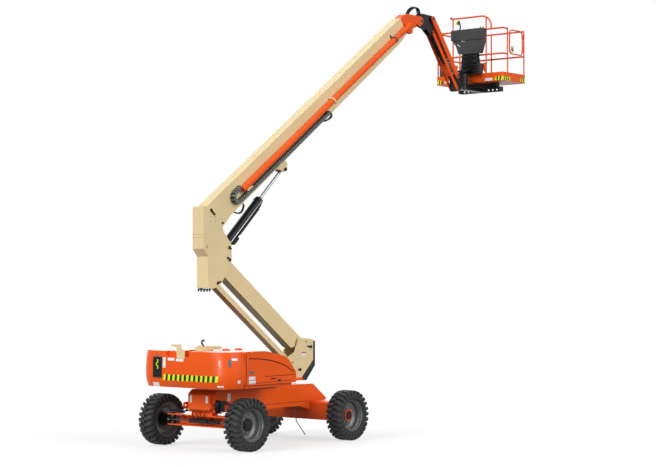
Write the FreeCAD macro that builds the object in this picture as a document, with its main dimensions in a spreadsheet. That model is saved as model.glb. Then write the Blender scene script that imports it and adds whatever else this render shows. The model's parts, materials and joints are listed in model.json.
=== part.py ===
import FreeCAD, Part
import math
import os
import Sketcher

# Articulated boom lift, in millimetres. +X runs from the tail towards the platform, +Y is the
# machine's left side and +Z is up. Pieces are drawn about the slew axis on the ground, and
# datum_x then carries the whole machine so that its origin is the middle of its footprint box.

V = FreeCAD.Vector
doc = FreeCAD.newDocument("boom_lift")

# ---------------------------------------------------------------- driving dimensions
DIMENSIONS = {
    "datum_x": -2977.5, "gap": 8,
    # wheels and axles
    "axle_reach": 1443, "half_track": 1063, "tyre_radius": 480, "tyre_width": 345,
    "rim_radius": 262, "king_pin_y": 780, "king_pin_radius": 30, "steer_arm": 120,
    "steer_beam_half": 700, "steer_beam_low": 395, "steer_beam_high": 605, "flange": 22,
    "hub_radius": 112, "hub_face": 1097, "steering_rod_radius": 16, "steering_cylinder_radius": 42,
    "drive_box_half": 880, "drive_box_low": 380, "drive_box_high": 740, "drive_box_back": 1200,
    "drive_box_front": 1690,
    # chassis
    "frame_half": 330, "frame_low": 655, "frame_top": 1065, "frame_tail": -1500,
    "frame_flat_end": 1290, "bearing_radius": 430, "bearing_race": 60,
    "lug_thick": 24, "lug_radius": 62, "lug_hole": 26, "lug_tail_x": -1565, "lug_tail_z": 775,
    "lug_nose_x": 1752, "lug_nose_z": 560,
    # turntable
    "deck_low": 1130, "deck_thick": 50, "deck_half": 1140, "tail_reach": 2061.2, "tail_corner": 470,
    "counterweight_top": 1790, "bay_half": 175, "bay_wall": 24, "pillar_x": -1580,
    "hood_front": -160, "hood_top": 1800, "hood_inner": 345, "hood_skin": 14,
    # tower
    "tower_foot_x": 1423, "tower_foot_z": 1771, "tower_head_x": -906, "tower_head_z": 3452,
    "link_foot_x": 1098, "link_foot_z": 1339, "tower_width": 190, "tower_depth": 310,
    "link_width": 150, "link_depth": 100, "tower_pin": 32, "mount_half": 160, "mount_plate": 28,
    "upright_half": 140, "upright_plate": 16,
    # main boom
    "boom_pivot_x": -1410, "boom_pivot_z": 4360, "boom_length": 7180, "boom_half": 112,
    "lift_foot_x": -920, "lift_foot_z": 3683, "lift_ear_x": 734, "lift_ear_z": 5209,
    "lift_barrel": 82, "lift_rod": 30, "side_tube": 57, "side_tube_y": -186,
    # jib and platform
    "jib_head_x": 5600, "jib_head_z": 8680, "jib_foot_x": 6500, "jib_foot_z": 7530,
    "level_x": 5215, "level_z": 8600, "jib_link_x": 30, "jib_link_z": -290,
    "jib_ram_x": 5565, "jib_ram_z": 8540, "jib_ram_reach": 1150, "jib_pin": 24,
    "rotator_x": 6850, "basket_x": 7115, "basket_deep": 902, "basket_half": 892,
    "basket_floor": 7439, "toe_board": 190, "mid_rail": 600, "top_rail": 1160,
    "guard_rail": 1461, "tube_radius": 19, "post_radius": 16,
    "hinge_y": 345, "hinge_z": 1806, "hinge_pin": 8, "hinge_barrel": 13, "gate_pin_x": 7958,
    "gate_post_x": 7336,
}

sheet = doc.addObject("Spreadsheet::Sheet", "dims")
for row, (alias, value) in enumerate(DIMENSIONS.items(), start=1):
    sheet.set(f"A{row}", alias)
    sheet.set(f"B{row}", str(value))
    sheet.setAlias(f"B{row}", alias)
doc.recompute()


def size(alias):
    """The value of one cell of the sheet."""
    return float(sheet.get(alias))


def rise(foot, head):
    """Angle in degrees of the line from foot to head, measured up from +X."""
    return math.degrees(math.atan2(head[1] - foot[1], head[0] - foot[0]))


TOWER_FOOT = (size("tower_foot_x"), size("tower_foot_z"))
TOWER_HEAD = (size("tower_head_x"), size("tower_head_z"))
LINK_FOOT = (size("link_foot_x"), size("link_foot_z"))
BOOM_PIVOT = (size("boom_pivot_x"), size("boom_pivot_z"))
LIFT_FOOT = (size("lift_foot_x"), size("lift_foot_z"))
LIFT_EAR = (size("lift_ear_x"), size("lift_ear_z"))
JIB_HEAD = (size("jib_head_x"), size("jib_head_z"))
JIB_FOOT = (size("jib_foot_x"), size("jib_foot_z"))
TOWER_LENGTH = math.dist(TOWER_FOOT, TOWER_HEAD)
LIFT_LENGTH = math.dist(LIFT_FOOT, LIFT_EAR)
JIB_LENGTH = math.dist(JIB_HEAD, JIB_FOOT)
LEVEL_PIVOT = (size("level_x"), size("level_z"))
JIB_RAM_FOOT = (size("jib_ram_x"), size("jib_ram_z"))
JIB_SHARE = size("jib_ram_reach") / JIB_LENGTH
JIB_RAM_EYE = tuple(a + (b - a) * JIB_SHARE for a, b in zip(JIB_HEAD, JIB_FOOT))
JIB_RAM_LENGTH = math.dist(JIB_RAM_FOOT, JIB_RAM_EYE)
BOOM_ANGLE = 35.0

# Each frame is a point of the machine (x and z cells) and the angle its own +X rises at.
FRAMES = {
    "machine": (None, None, 0.0),
    "tower": ("tower_foot_x", "tower_foot_z", rise(TOWER_HEAD, TOWER_FOOT)),
    "link": ("link_foot_x", "link_foot_z", rise(TOWER_HEAD, TOWER_FOOT)),
    "boom": ("boom_pivot_x", "boom_pivot_z", BOOM_ANGLE),
    "lift": ("lift_foot_x", "lift_foot_z", rise(LIFT_FOOT, LIFT_EAR)),
    "jib": ("jib_head_x", "jib_head_z", rise(JIB_HEAD, JIB_FOOT)),
    "jib_ram": ("jib_ram_x", "jib_ram_z", rise(JIB_RAM_FOOT, JIB_RAM_EYE)),
}
PARTS = []


def in_frame(name, point):
    """A machine point (x, z) as coordinates of one of the frames."""
    x_cell, z_cell, angle = FRAMES[name]
    across = point[0] - size(x_cell)
    up = point[1] - size(z_cell)
    turn = math.radians(angle)
    return (across * math.cos(turn) + up * math.sin(turn), up * math.cos(turn) - across * math.sin(turn))


class Piece:
    """One rigid piece: a body, and the sketches and features that shape it."""

    def __init__(self, name, frame="machine"):
        self.body = doc.addObject("PartDesign::Body", name)
        self.body.Label = name
        x_cell, z_cell, angle = FRAMES[frame]
        tilt = FreeCAD.Rotation(V(0, -1, 0), angle)
        self.body.Placement = FreeCAD.Placement(V(0, 0, 0), tilt)
        place_x = "dims.datum_x"
        if x_cell:
            place_x = f"dims.datum_x + dims.{x_cell}"
            self.body.setExpression("Placement.Base.z", f"dims.{z_cell}")
        self.body.setExpression("Placement.Base.x", place_x)
        PARTS.append(self.body)

    def sketch(self, role, offset=0.0):
        """An empty sketch on one of the body's origin planes, offset along the plane's normal."""
        plane = [item for item in self.body.Origin.OriginFeatures if item.Role == role][0]
        drawn = self.body.newObject("Sketcher::SketchObject", self.body.Name + "_sketch")
        drawn.AttachmentSupport = [(plane, "")]
        drawn.MapMode = "FlatFace"
        drawn.AttachmentOffset = FreeCAD.Placement(V(0, 0, offset), FreeCAD.Rotation())
        return drawn

    def outline(self, role, corners, offset=0.0, closed=True):
        """A sketch of one outline; a corner is (across, up) or (across, up, round radius)."""
        drawn = self.sketch(role, offset)
        drawn.addGeometry(outline_edges(corners, closed), False)
        return drawn

    def circles(self, role, centres, radius, offset=0.0):
        """A sketch of equal circles whose radius is an expression or a number."""
        drawn = self.sketch(role, offset)
        start = radius if isinstance(radius, (int, float)) else 10.0
        for centre in centres:
            index = drawn.addGeometry(Part.Circle(V(centre[0], centre[1], 0), V(0, 0, 1), start), False)
            link = drawn.addConstraint(Sketcher.Constraint("Radius", index, start))
            drawn.renameConstraint(link, f"radius_{index}")
            if not isinstance(radius, (int, float)):
                drawn.setExpression(f"Constraints.radius_{index}", radius)
        return drawn

    def feature(self, kind, profile, length, both=True, flip=False):
        """A pad or a pocket of a sketch; length is an expression, a number or None for right through."""
        made = self.body.newObject("PartDesign::" + kind, self.body.Name + "_" + kind.lower())
        made.Profile = profile
        made.SideType = "Symmetric" if both else "One side"
        made.Reversed = flip
        if length is None:
            made.Type = "ThroughAll"
        elif isinstance(length, (int, float)):
            made.Length = length
        else:
            made.setExpression("Length", length)
        profile.Visibility = False
        return made

    def pad(self, profile, length, both=True, flip=False):
        return self.feature("Pad", profile, length, both, flip)

    def pocket(self, profile, length=None, both=True, flip=False):
        return self.feature("Pocket", profile, length, both, flip)

    def turn(self, corners, role="XY_Plane", axis="X_Axis", kind="Revolution", offset=0.0):
        """A body of revolution about one of the origin axes."""
        profile = self.outline(role, corners, offset)
        made = self.body.newObject("PartDesign::" + kind, self.body.Name + "_turned")
        made.Profile = profile
        line = [item for item in self.body.Origin.OriginFeatures if item.Role == axis][0]
        made.ReferenceAxis = (line, [""])
        made.Angle = 360.0
        return made

    def sweep(self, path, profile):
        """A tube: a round profile carried along a path that starts at the profile."""
        made = self.body.newObject("PartDesign::AdditivePipe", self.body.Name + "_swept")
        made.Profile = profile
        made.Spine = (path, [""])
        profile.Visibility = False
        return made

    def bar(self, y_low, y_high, centres, radius):
        """Round bars along Y, from y_low to y_high, at (x, z) centres."""
        drawn = self.circles("XZ_Plane", centres, radius, -y_high)
        return self.pad(drawn, abs(y_high - y_low), both=False)


def round_corner(before, corner, after, radius):
    """The tangent points and middle point of the arc that rounds a corner."""
    to_before = (before - corner).normalize()
    to_after = (after - corner).normalize()
    half = to_before.getAngle(to_after) / 2.0
    reach = radius / math.tan(half)
    middle = (to_before + to_after).normalize()
    centre = corner + middle * (radius / math.sin(half))
    return corner + to_before * reach, centre - middle * radius, corner + to_after * reach


def outline_edges(corners, closed=True):
    """A run of lines, with arcs at the corners that have a radius."""
    points = [V(corner[0], corner[1], 0) for corner in corners]
    count = len(points)
    edges = []
    ends = []
    for index, corner in enumerate(corners):
        if len(corner) > 2 and corner[2] > 0:
            after = points[(index + 1) % count]
            arc = round_corner(points[index - 1], points[index], after, corner[2])
            ends.append(arc)
        else:
            ends.append((points[index], None, points[index]))
    for index in range(count):
        first, middle, last = ends[index]
        if middle is not None:
            edges.append(Part.Arc(first, middle, last))
        following = ends[(index + 1) % count][0]
        if last.distanceToPoint(following) > 1e-6 and (closed or index < count - 1):
            edges.append(Part.LineSegment(last, following))
    return edges


def box_corners(x_low, z_low, x_high, z_high, radius=0.0):
    """The corners of an upright rectangle, all rounded alike."""
    low = [(x_low, z_low, radius), (x_high, z_low, radius)]
    high = [(x_high, z_high, radius), (x_low, z_high, radius)]
    return low + high


# ---------------------------------------------------------------- chassis
def make_chassis_frame():
    """The welded box frame: a flat back for the slewing bearing and a nose sloping to the drive axle."""
    piece = Piece("chassis_frame")
    tail = size("frame_tail")
    top = size("frame_top")
    seat = size("drive_box_high")
    side = [
        (tail, size("frame_low"), 20), (tail, 1000, 30), (tail + 90, top, 60),
        (size("frame_flat_end"), top),
        (size("drive_box_front"), 775), (size("drive_box_front"), seat), (size("drive_box_back") - 5, seat),
        (size("drive_box_back") - 5, 560), (900, size("frame_low")),
    ]
    piece.pad(piece.outline("XZ_Plane", side), "2 * dims.frame_half")
    piece.pad(piece.outline("XZ_Plane", box_corners(tail - 75, 700, tail + 60, 990, 15)), 540)


def make_steer_axle():
    """The steering axle: a channel open to the tail, its flanges ending in the king pin forks."""
    piece = Piece("steer_axle")
    axle = -size("axle_reach")
    low = size("steer_beam_low")
    high = size("steer_beam_high")
    flange = size("flange")
    end = size("king_pin_y")
    channel = [
        (axle - 110, low), (axle + 110, low), (axle + 110, high), (axle - 110, high),
        (axle - 110, high - flange), (axle + 84, high - flange), (axle + 84, low + flange),
        (axle - 110, low + flange),
    ]
    piece.pad(piece.outline("XZ_Plane", channel), "2 * dims.steer_beam_half")
    for level in (low, high - flange):
        for side in (1, -1):
            fork = [
                (axle - 110, side * 560), (axle + 110, side * 560),
                (axle + 100, side * (end + 105), 90), (axle - 100, side * (end + 105), 90),
            ]
            piece.pad(piece.outline("XY_Plane", fork, level), "dims.flange", both=False)
    saddle = box_corners(axle - 50, high - 5, axle + 100, size("frame_low"))
    piece.pad(piece.outline("XZ_Plane", saddle), 520)
    pins = [(axle, end), (axle, -end)]
    bores = piece.circles("XY_Plane", pins, "dims.king_pin_radius + 0.5", 300)
    piece.pocket(bores, 500, both=False, flip=True)


def make_steering():
    """The steering cylinder on the axle, the rod through it, and the two knuckles it turns."""
    axle = -size("axle_reach")
    arm_x = axle - size("steer_arm")
    level = 500.0
    end = size("king_pin_y")
    cylinder = Piece("steering_cylinder")
    cylinder.bar(-230, 230, [(arm_x, level)], "dims.steering_cylinder_radius")
    for side in (-1, 1):
        foot = box_corners(arm_x + 20, level - 28, axle + 84, level + 28)
        cylinder.pad(cylinder.outline("XZ_Plane", foot, -side * 150), 40)
    bore = cylinder.circles("XZ_Plane", [(arm_x, level)], "dims.steering_rod_radius + 0.5")
    cylinder.pocket(bore)

    rod = Piece("steering_rod")
    rod.bar(-end + 20, end - 20, [(arm_x, level)], "dims.steering_rod_radius")
    for side in (-1, 1):
        eye = rod.circles("XY_Plane", [(arm_x, side * end)], 30, level - 9)
        rod.pad(eye, 18, both=False)

    for name, side in (("knuckle_left", 1), ("knuckle_right", -1)):
        piece = Piece(name)
        low = size("steer_beam_low") + size("flange") + 2
        high = size("steer_beam_high") - size("flange") - 2
        boss = piece.circles("XY_Plane", [(axle, side * end)], 72, low)
        piece.pad(boss, high - low, both=False)
        foot = size("steer_beam_low") - 14
        pin = piece.circles("XY_Plane", [(axle, side * end)], "dims.king_pin_radius", foot)
        piece.pad(pin, size("steer_beam_high") + 14 - foot, both=False)
        for plate in (level - 38, level + 18):
            arm = [
                (axle - 30, side * (end - 62)), (axle - 30, side * (end + 62)),
                (arm_x - 34, side * (end + 34), 20), (arm_x - 34, side * (end - 34), 20),
            ]
            piece.pad(piece.outline("XY_Plane", arm, plate), 20, both=False)
        hub_start = end + 118
        spindle = piece.circles("XZ_Plane", [(axle, size("tyre_radius"))], 62, -side * (end + 20))
        piece.pad(spindle, 110, both=False, flip=side > 0)
        hub = piece.circles("XZ_Plane", [(axle, size("tyre_radius"))], "dims.hub_radius", -side * hub_start)
        piece.pad(hub, size("hub_face") - hub_start, both=False, flip=side > 0)


def make_drive_axle():
    """The drive axle: a welded box across the frame with a drive hub at each end."""
    piece = Piece("drive_axle")
    back = size("drive_box_back")
    front = size("drive_box_front")
    low = size("drive_box_low")
    high = size("drive_box_high")
    section = [
        (back, low, 15), (front, low, 15), (front, high - 60, 15), (front - 90, high, 15),
        (back + 60, high, 15), (back, high - 30, 15),
    ]
    piece.pad(piece.outline("XZ_Plane", section), "2 * dims.drive_box_half")
    axle = size("axle_reach")
    for side in (-1, 1):
        start = size("drive_box_half")
        hub = piece.circles("XZ_Plane", [(axle, size("tyre_radius"))], "dims.hub_radius", -side * start)
        piece.pad(hub, size("hub_face") - start, both=False, flip=side > 0)


def make_slew_bearing():
    """The fixed outer race of the slewing bearing on top of the frame."""
    piece = Piece("slew_bearing")
    top = size("frame_top")
    ring = [
        (size("bearing_radius") - size("bearing_race"), top), (size("bearing_radius"), top),
        (size("bearing_radius"), size("deck_low") - size("gap")),
        (size("bearing_radius") - size("bearing_race"), size("deck_low") - size("gap")),
    ]
    piece.turn(ring, "XZ_Plane", "Z_Axis")


def make_tie_down_lugs():
    """Lashing and lifting plates: two beside the tail block, two on the front of the drive axle's box."""
    piece = Piece("tie_down_lugs")
    tail = (size("lug_tail_x"), size("lug_tail_z"))
    nose = (size("lug_nose_x"), size("lug_nose_z"))
    reach = size("lug_radius")
    tail_plate = [
        (tail[0] - reach, tail[1] - reach, 55), (tail[0] + 170, tail[1] - reach),
        (tail[0] + 170, tail[1] + reach),
        (tail[0] - reach, tail[1] + reach, 55),
    ]
    root = size("drive_box_front") + 0.5
    nose_plate = [
        (root, nose[1] - reach - 15), (nose[0] + reach, nose[1] - reach, 55),
        (nose[0] + reach, nose[1] + reach, 55),
        (root, nose[1] + reach + 15),
    ]
    for side in (1, -1):
        for plate in (tail_plate, nose_plate):
            drawn = piece.outline("XZ_Plane", plate, -side * size("frame_half"))
            piece.pad(drawn, "dims.lug_thick", both=False, flip=side > 0)
    piece.pocket(piece.circles("XZ_Plane", [tail, nose], "dims.lug_hole"))


def make_under_frame_parts():
    """The hose manifold behind the steering axle, and the bent earthing rod under the drive axle."""
    manifold = Piece("travel_manifold")
    block = box_corners(-1495, 690, -1375, 880, 12)
    manifold.pad(manifold.outline("XZ_Plane", block, size("frame_half") + 25), 105, both=False)
    rod = Piece("earthing_rod")
    knee = (1056.0, 345.0)
    foot = (1330.0, 60.0)
    rod.pad(rod.circles("XY_Plane", [(knee[0], -100.0)], 9, knee[1]), 254, both=False)
    lean = math.degrees(math.atan2(foot[0] - knee[0], foot[1] - knee[1]))
    drawn = rod.circles("XY_Plane", [(0.0, 0.0)], 9)
    turned = FreeCAD.Rotation(V(0, 1, 0), lean)
    drawn.AttachmentOffset = FreeCAD.Placement(V(knee[0], -100.0, knee[1]), turned)
    rod.pad(drawn, math.dist(knee, foot), both=False)


def make_wheel(name, x, side):
    """A tyre and its dished rim; the tyre's outside is the outside of its tread bars."""
    radius = size("tyre_radius")
    half = size("tyre_width") / 2.0
    rim = size("rim_radius")
    middle = side * size("half_track")
    tyre = Piece("tyre_" + name)
    tyre.body.Placement.Base = V(0, 0, radius)
    section = [
        (-half + 30, rim - 8, 6), (-half + 8, rim + 25, 20), (-half, radius - 110, 60),
        (-half + 25, radius - 20, 30),
        (-half + 70, radius, 20), (half - 70, radius, 20), (half - 25, radius - 20, 30),
        (half, radius - 110, 60),
        (half - 8, rim + 25, 20), (half - 30, rim - 8, 6),
    ]
    tyre.turn([(c[0], c[1], c[2]) for c in section], "XY_Plane", "X_Axis")
    wheel_place(tyre.body, x, middle, side)
    disc = Piece("rim_" + name)
    dish = [
        (-half + 30, rim - 8.3), (-half + 30, rim - 26), (-half + 60, rim - 34), (20, rim - 60),
        (36, 170, 20),
        (36, 0), (62, 0), (62, 165, 20),
        (110, rim - 40, 20), (half - 30, rim - 26), (half - 30, rim - 8.3),
    ]
    disc.turn(dish, "XY_Plane", "X_Axis")
    wheel_place(disc.body, x, middle, side)


def wheel_place(body, x, middle, side):
    """Stands a wheel turned about +X on its axle, with its open face outwards."""
    spin = FreeCAD.Rotation(V(0, 0, 1), 90.0 * side)
    body.setExpression("Placement.Base.x", None)
    body.Placement = FreeCAD.Placement(V(x + size("datum_x"), middle, size("tyre_radius")), spin)


# ---------------------------------------------------------------- turntable
DECK_TAIL = [
    (0, 1080), (-1500, 1080, 60), (-1800, 700, 80), (-1960, 400, 40), (-1960, -400, 40), (-1800, -700, 80),
    (-1500, -1080, 60), (0, -1080),
]


def make_turntable():
    """The slewing deck and the inner race that carries it."""
    deck = Piece("turntable_deck")
    neck = size("hood_front") - 40
    nose = [(neck, -1080, 40), (neck, -250), (1180, -170), (1180, 170), (neck, 250), (neck, 1080, 40)]
    plan = nose + DECK_TAIL[1:-1]
    deck.pad(deck.outline("XY_Plane", plan, size("deck_low")), "dims.deck_thick", both=False)
    foot = size("deck_low") + size("deck_thick") - 2
    wall = box_corners(size("pillar_x") + 20, foot, size("hood_front") - 20, 1700)
    for low_y, high_y in ((322, 334), (-334, -322)):
        deck.pad(deck.outline("XZ_Plane", wall, -high_y), high_y - low_y, both=False)
        for start in (-1300, -960):
            post = box_corners(start, 1690, start + 60, size("hinge_z"))
            deck.pad(deck.outline("XZ_Plane", post, -high_y), high_y - low_y, both=False)
    race = size("bearing_radius") - size("bearing_race") - 0.6
    inner = deck.circles("XY_Plane", [(0, 0)], race, size("frame_top") + size("gap"))
    deck.pad(inner, size("deck_low") - size("frame_top"), both=False)
    axes = [(size("hinge_y"), size("hinge_z")), (-size("hinge_y"), size("hinge_z"))]
    for start in (-1300, -960):
        deck.pad(deck.circles("YZ_Plane", axes, "dims.hinge_barrel", start), 60, both=False)
        deck.pad(deck.circles("YZ_Plane", axes, "dims.hinge_pin", start + 50), 100, both=False)


def make_counterweight():
    """The cast tail: round corners in plan, a bellied side, and a bay for the folded tower."""
    piece = Piece("counterweight")
    low = size("deck_low")
    high = size("counterweight_top")
    half = size("deck_half") + 12
    reach = size("tail_reach")
    corner = size("tail_corner")
    levels = []
    step = (high - low) / 6.0
    insets = ((60, 45), (20, 12), (2, 0), (2, 0), (14, 2), (34, 8), (62, 24))
    for index, (inset, rear_inset) in enumerate(insets):
        level = low + index * step
        wide = half - inset
        back = rear_inset - reach
        plan = [
            (size("pillar_x"), -wide), (size("pillar_x"), wide), (back, wide, corner - inset),
            (back, -wide, corner - inset),
        ]
        levels.append(piece.outline("XY_Plane", plan, level))
    belly = piece.body.newObject("PartDesign::AdditiveLoft", "counterweight_belly")
    belly.Profile = levels[0]
    belly.Sections = levels[1:]
    belly.Ruled = False
    bay = box_corners(-reach + size("bay_wall"), -size("bay_half"), 0, size("bay_half"))
    piece.pocket(piece.outline("XY_Plane", bay, low + size("deck_thick") + 10), 900, both=False, flip=True)
    notch = [(-200, 1690, 30), (380, 1690, 40), (380, 1900), (-200, 1900)]
    rear = piece.outline("YZ_Plane", notch, -reach - 100)
    piece.pocket(rear, 190, both=False, flip=True)
    seat = piece.outline("YZ_Plane", box_corners(-102, 1655, 94, 1800), -reach - 100)
    piece.pocket(seat, 115.5, both=False, flip=True)
    deck_room = size("deck_thick") + 130
    piece.pocket(piece.outline("XY_Plane", DECK_TAIL, 1000), deck_room, both=False, flip=True)


def make_tower_mount():
    """The casting that carries the tower's feet, with its bumper down the front edge."""
    piece = Piece("tower_mount")
    cheek = [
        (1078, 1955, 20), (1480, 1920, 25), (1500, 1890, 15), (1500, 1515), (1185, 1215),
        (1150, 1182), (500, 1182),
        (580, 1400, 60), (700, 1565, 40), (761, 1594, 20), (952, 1678, 20),
    ]
    piece.pad(piece.outline("XZ_Plane", cheek), "2 * dims.mount_half")
    slot = [
        (400, 1225), (1150, 1225), (1470, 1530), (1470, 1660), (1520, 1660), (1520, 2100), (400, 2100),
    ]
    piece.pocket(piece.outline("XZ_Plane", slot), "2 * (dims.mount_half - dims.mount_plate)")
    pins = [TOWER_FOOT, LINK_FOOT]
    piece.pad(piece.circles("XZ_Plane", pins, "dims.tower_pin"), "2 * dims.mount_half + 24")
    bumper = Piece("mount_bumper")
    strip = [
        (1500.8, 1890, 5), (1558, 1882, 10), (1558, 1405, 20), (1297, 1124, 15), (1190, 1124),
        (1186, 1214.4),
        (1500.8, 1514.6),
    ]
    bumper.pad(bumper.outline("XZ_Plane", strip), "2 * dims.mount_half")


def make_hood(name, side):
    """One side's hood: a round-nosed cover whose crown falls in an arch towards the front."""
    piece = Piece(name)
    inner = side * size("hood_inner")
    outer = side * (size("deck_half") - 4)
    front = size("hood_front")
    low = size("deck_low") + size("deck_thick") + size("gap")
    crown = size("hood_top")
    profile = [
        (size("pillar_x") + 10, low), (size("pillar_x") + 10, crown - 15, 40), (-1000, crown - 10, 600),
        (-420, crown - 130, 400), (front, low + 190, 160), (front, low, 40),
    ]
    piece.pad(piece.outline("XZ_Plane", profile, -max(inner, outer)), abs(outer - inner), both=False)
    skin = size("hood_skin")
    hollow = [
        (size("pillar_x") + 10 + skin, low - 20), (size("pillar_x") + 10 + skin, crown - 15 - skin, 30),
        (-1000, crown - 10 - skin, 590), (-425, crown - 130 - skin, 390), (front - skin, low + 186, 150),
        (front - skin, low - 20),
    ]
    start = outer - skin if side > 0 else inner + 10
    inside = piece.outline("XZ_Plane", hollow, -start)
    piece.pocket(inside, abs(outer - inner) - skin + 10, both=False, flip=True)
    axis = (side * size("hinge_y"), size("hinge_z"))
    for start in (-1235, -895):
        leaf_y = sorted((axis[0], axis[0] + side * 60))
        leaf = box_corners(leaf_y[0], crown - 50, leaf_y[1], axis[1] + 6)
        piece.pad(piece.outline("YZ_Plane", leaf, start), 60, both=False)
        piece.pad(piece.circles("YZ_Plane", [axis], "dims.hinge_barrel", start), 60, both=False)
        hole = piece.circles("YZ_Plane", [axis], "dims.hinge_pin + 0.5", start - 20)
        piece.pocket(hole, 90, both=False, flip=True)


def make_turntable_contents():
    """The engine under the left hood, the tanks under the right, and the cream tail bracket."""
    engine = Piece("engine")
    engine.pad(engine.outline("XZ_Plane", box_corners(-1350, 1180, -600, 1600, 20), -900), 450, both=False)
    tank = Piece("tanks")
    tank.pad(tank.outline("XZ_Plane", box_corners(-1350, 1180, -600, 1560, 40), 450), 450, both=False)
    bracket = Piece("tail_bracket")
    plate = [
        (-100, 1657), (92, 1657), (105, 1862, 15), (235, 1872, 8), (250, 1908, 8), (-12, 1914, 10),
        (-18, 1842),
        (-100, 1806, 20),
    ]
    bracket.pad(bracket.outline("YZ_Plane", plate, -size("tail_reach") + 5), 10, both=False)
    rest = Piece("tower_rest")
    top = size("counterweight_top")
    guide = [
        (-1870, top), (-1180, top + 12, 20), (-1190, 1862, 40), (-1560, 1874, 200), (-1790, 1892, 30),
        (-1880, 1850, 30),
    ]
    rest.pad(rest.outline("XZ_Plane", guide, 184), 14, both=False)
    foot = box_corners(-310, top, -190, top + 8)
    rest.pad(rest.outline("YZ_Plane", foot, -1860), 270, both=False)


# ---------------------------------------------------------------- tower
def make_tower():
    """The two arms of the tower's parallelogram and the upright that they carry."""
    boom = Piece("tower_boom", "tower")
    reach = -TOWER_LENGTH
    side = [
        (60, -55, 45), (60, 55, 45), (-110, 55, 40), (-300, 15), (reach + 130, 15), (reach + 70, 50, 30),
        (reach - 50, 50, 45), (reach - 50, -60, 45), (reach + 60, -size("tower_depth"), 60),
        (-420, -size("tower_depth"), 60), (-180, -95),
    ]
    boom.pad(boom.outline("XZ_Plane", side), "dims.tower_width")
    boom.pocket(boom.circles("XZ_Plane", [(0, 0), (reach, 0)], "dims.tower_pin + 0.5"))
    link = Piece("tower_link", "link")
    thick = size("link_depth") / 2.0
    bar = [(50, -thick, 50), (50, thick, 50), (reach - 50, thick, 50), (reach - 50, -thick, 50)]
    link.pad(link.outline("XZ_Plane", bar), "dims.link_width")
    link.pocket(link.circles("XZ_Plane", [(0, 0), (reach, 0)], "dims.tower_pin + 0.5"))

    upright = Piece("upright")
    lift = TOWER_HEAD
    lower = (TOWER_HEAD[0] + LINK_FOOT[0] - TOWER_FOOT[0], TOWER_HEAD[1] + LINK_FOOT[1] - TOWER_FOOT[1])
    plate = [
        (-1600, 4420), (-1600, 3648), (-1482, 3505), (-1482, 2930), (-1378, 2910),
        (lower[0] + 60, lower[1] - 60, 40),
        (-845, 3350, 40), (-845, 3730, 40), (-1068, 3985, 60), (-1250, 4440, 60),
    ]
    upright.pad(upright.outline("XZ_Plane", plate), "2 * dims.upright_half")
    inner = [
        (-1584, 4500), (-1584, 3655), (-1466, 3512), (-1466, 2946), (-1300, 2700), (-400, 2900),
        (-400, 4500),
    ]
    upright.pocket(upright.outline("XZ_Plane", inner), "2 * (dims.upright_half - dims.upright_plate)")
    pins = [lift, lower, BOOM_PIVOT, LIFT_FOOT]
    upright.pad(upright.circles("XZ_Plane", pins, "dims.tower_pin"), "2 * dims.upright_half + 24")


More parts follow.
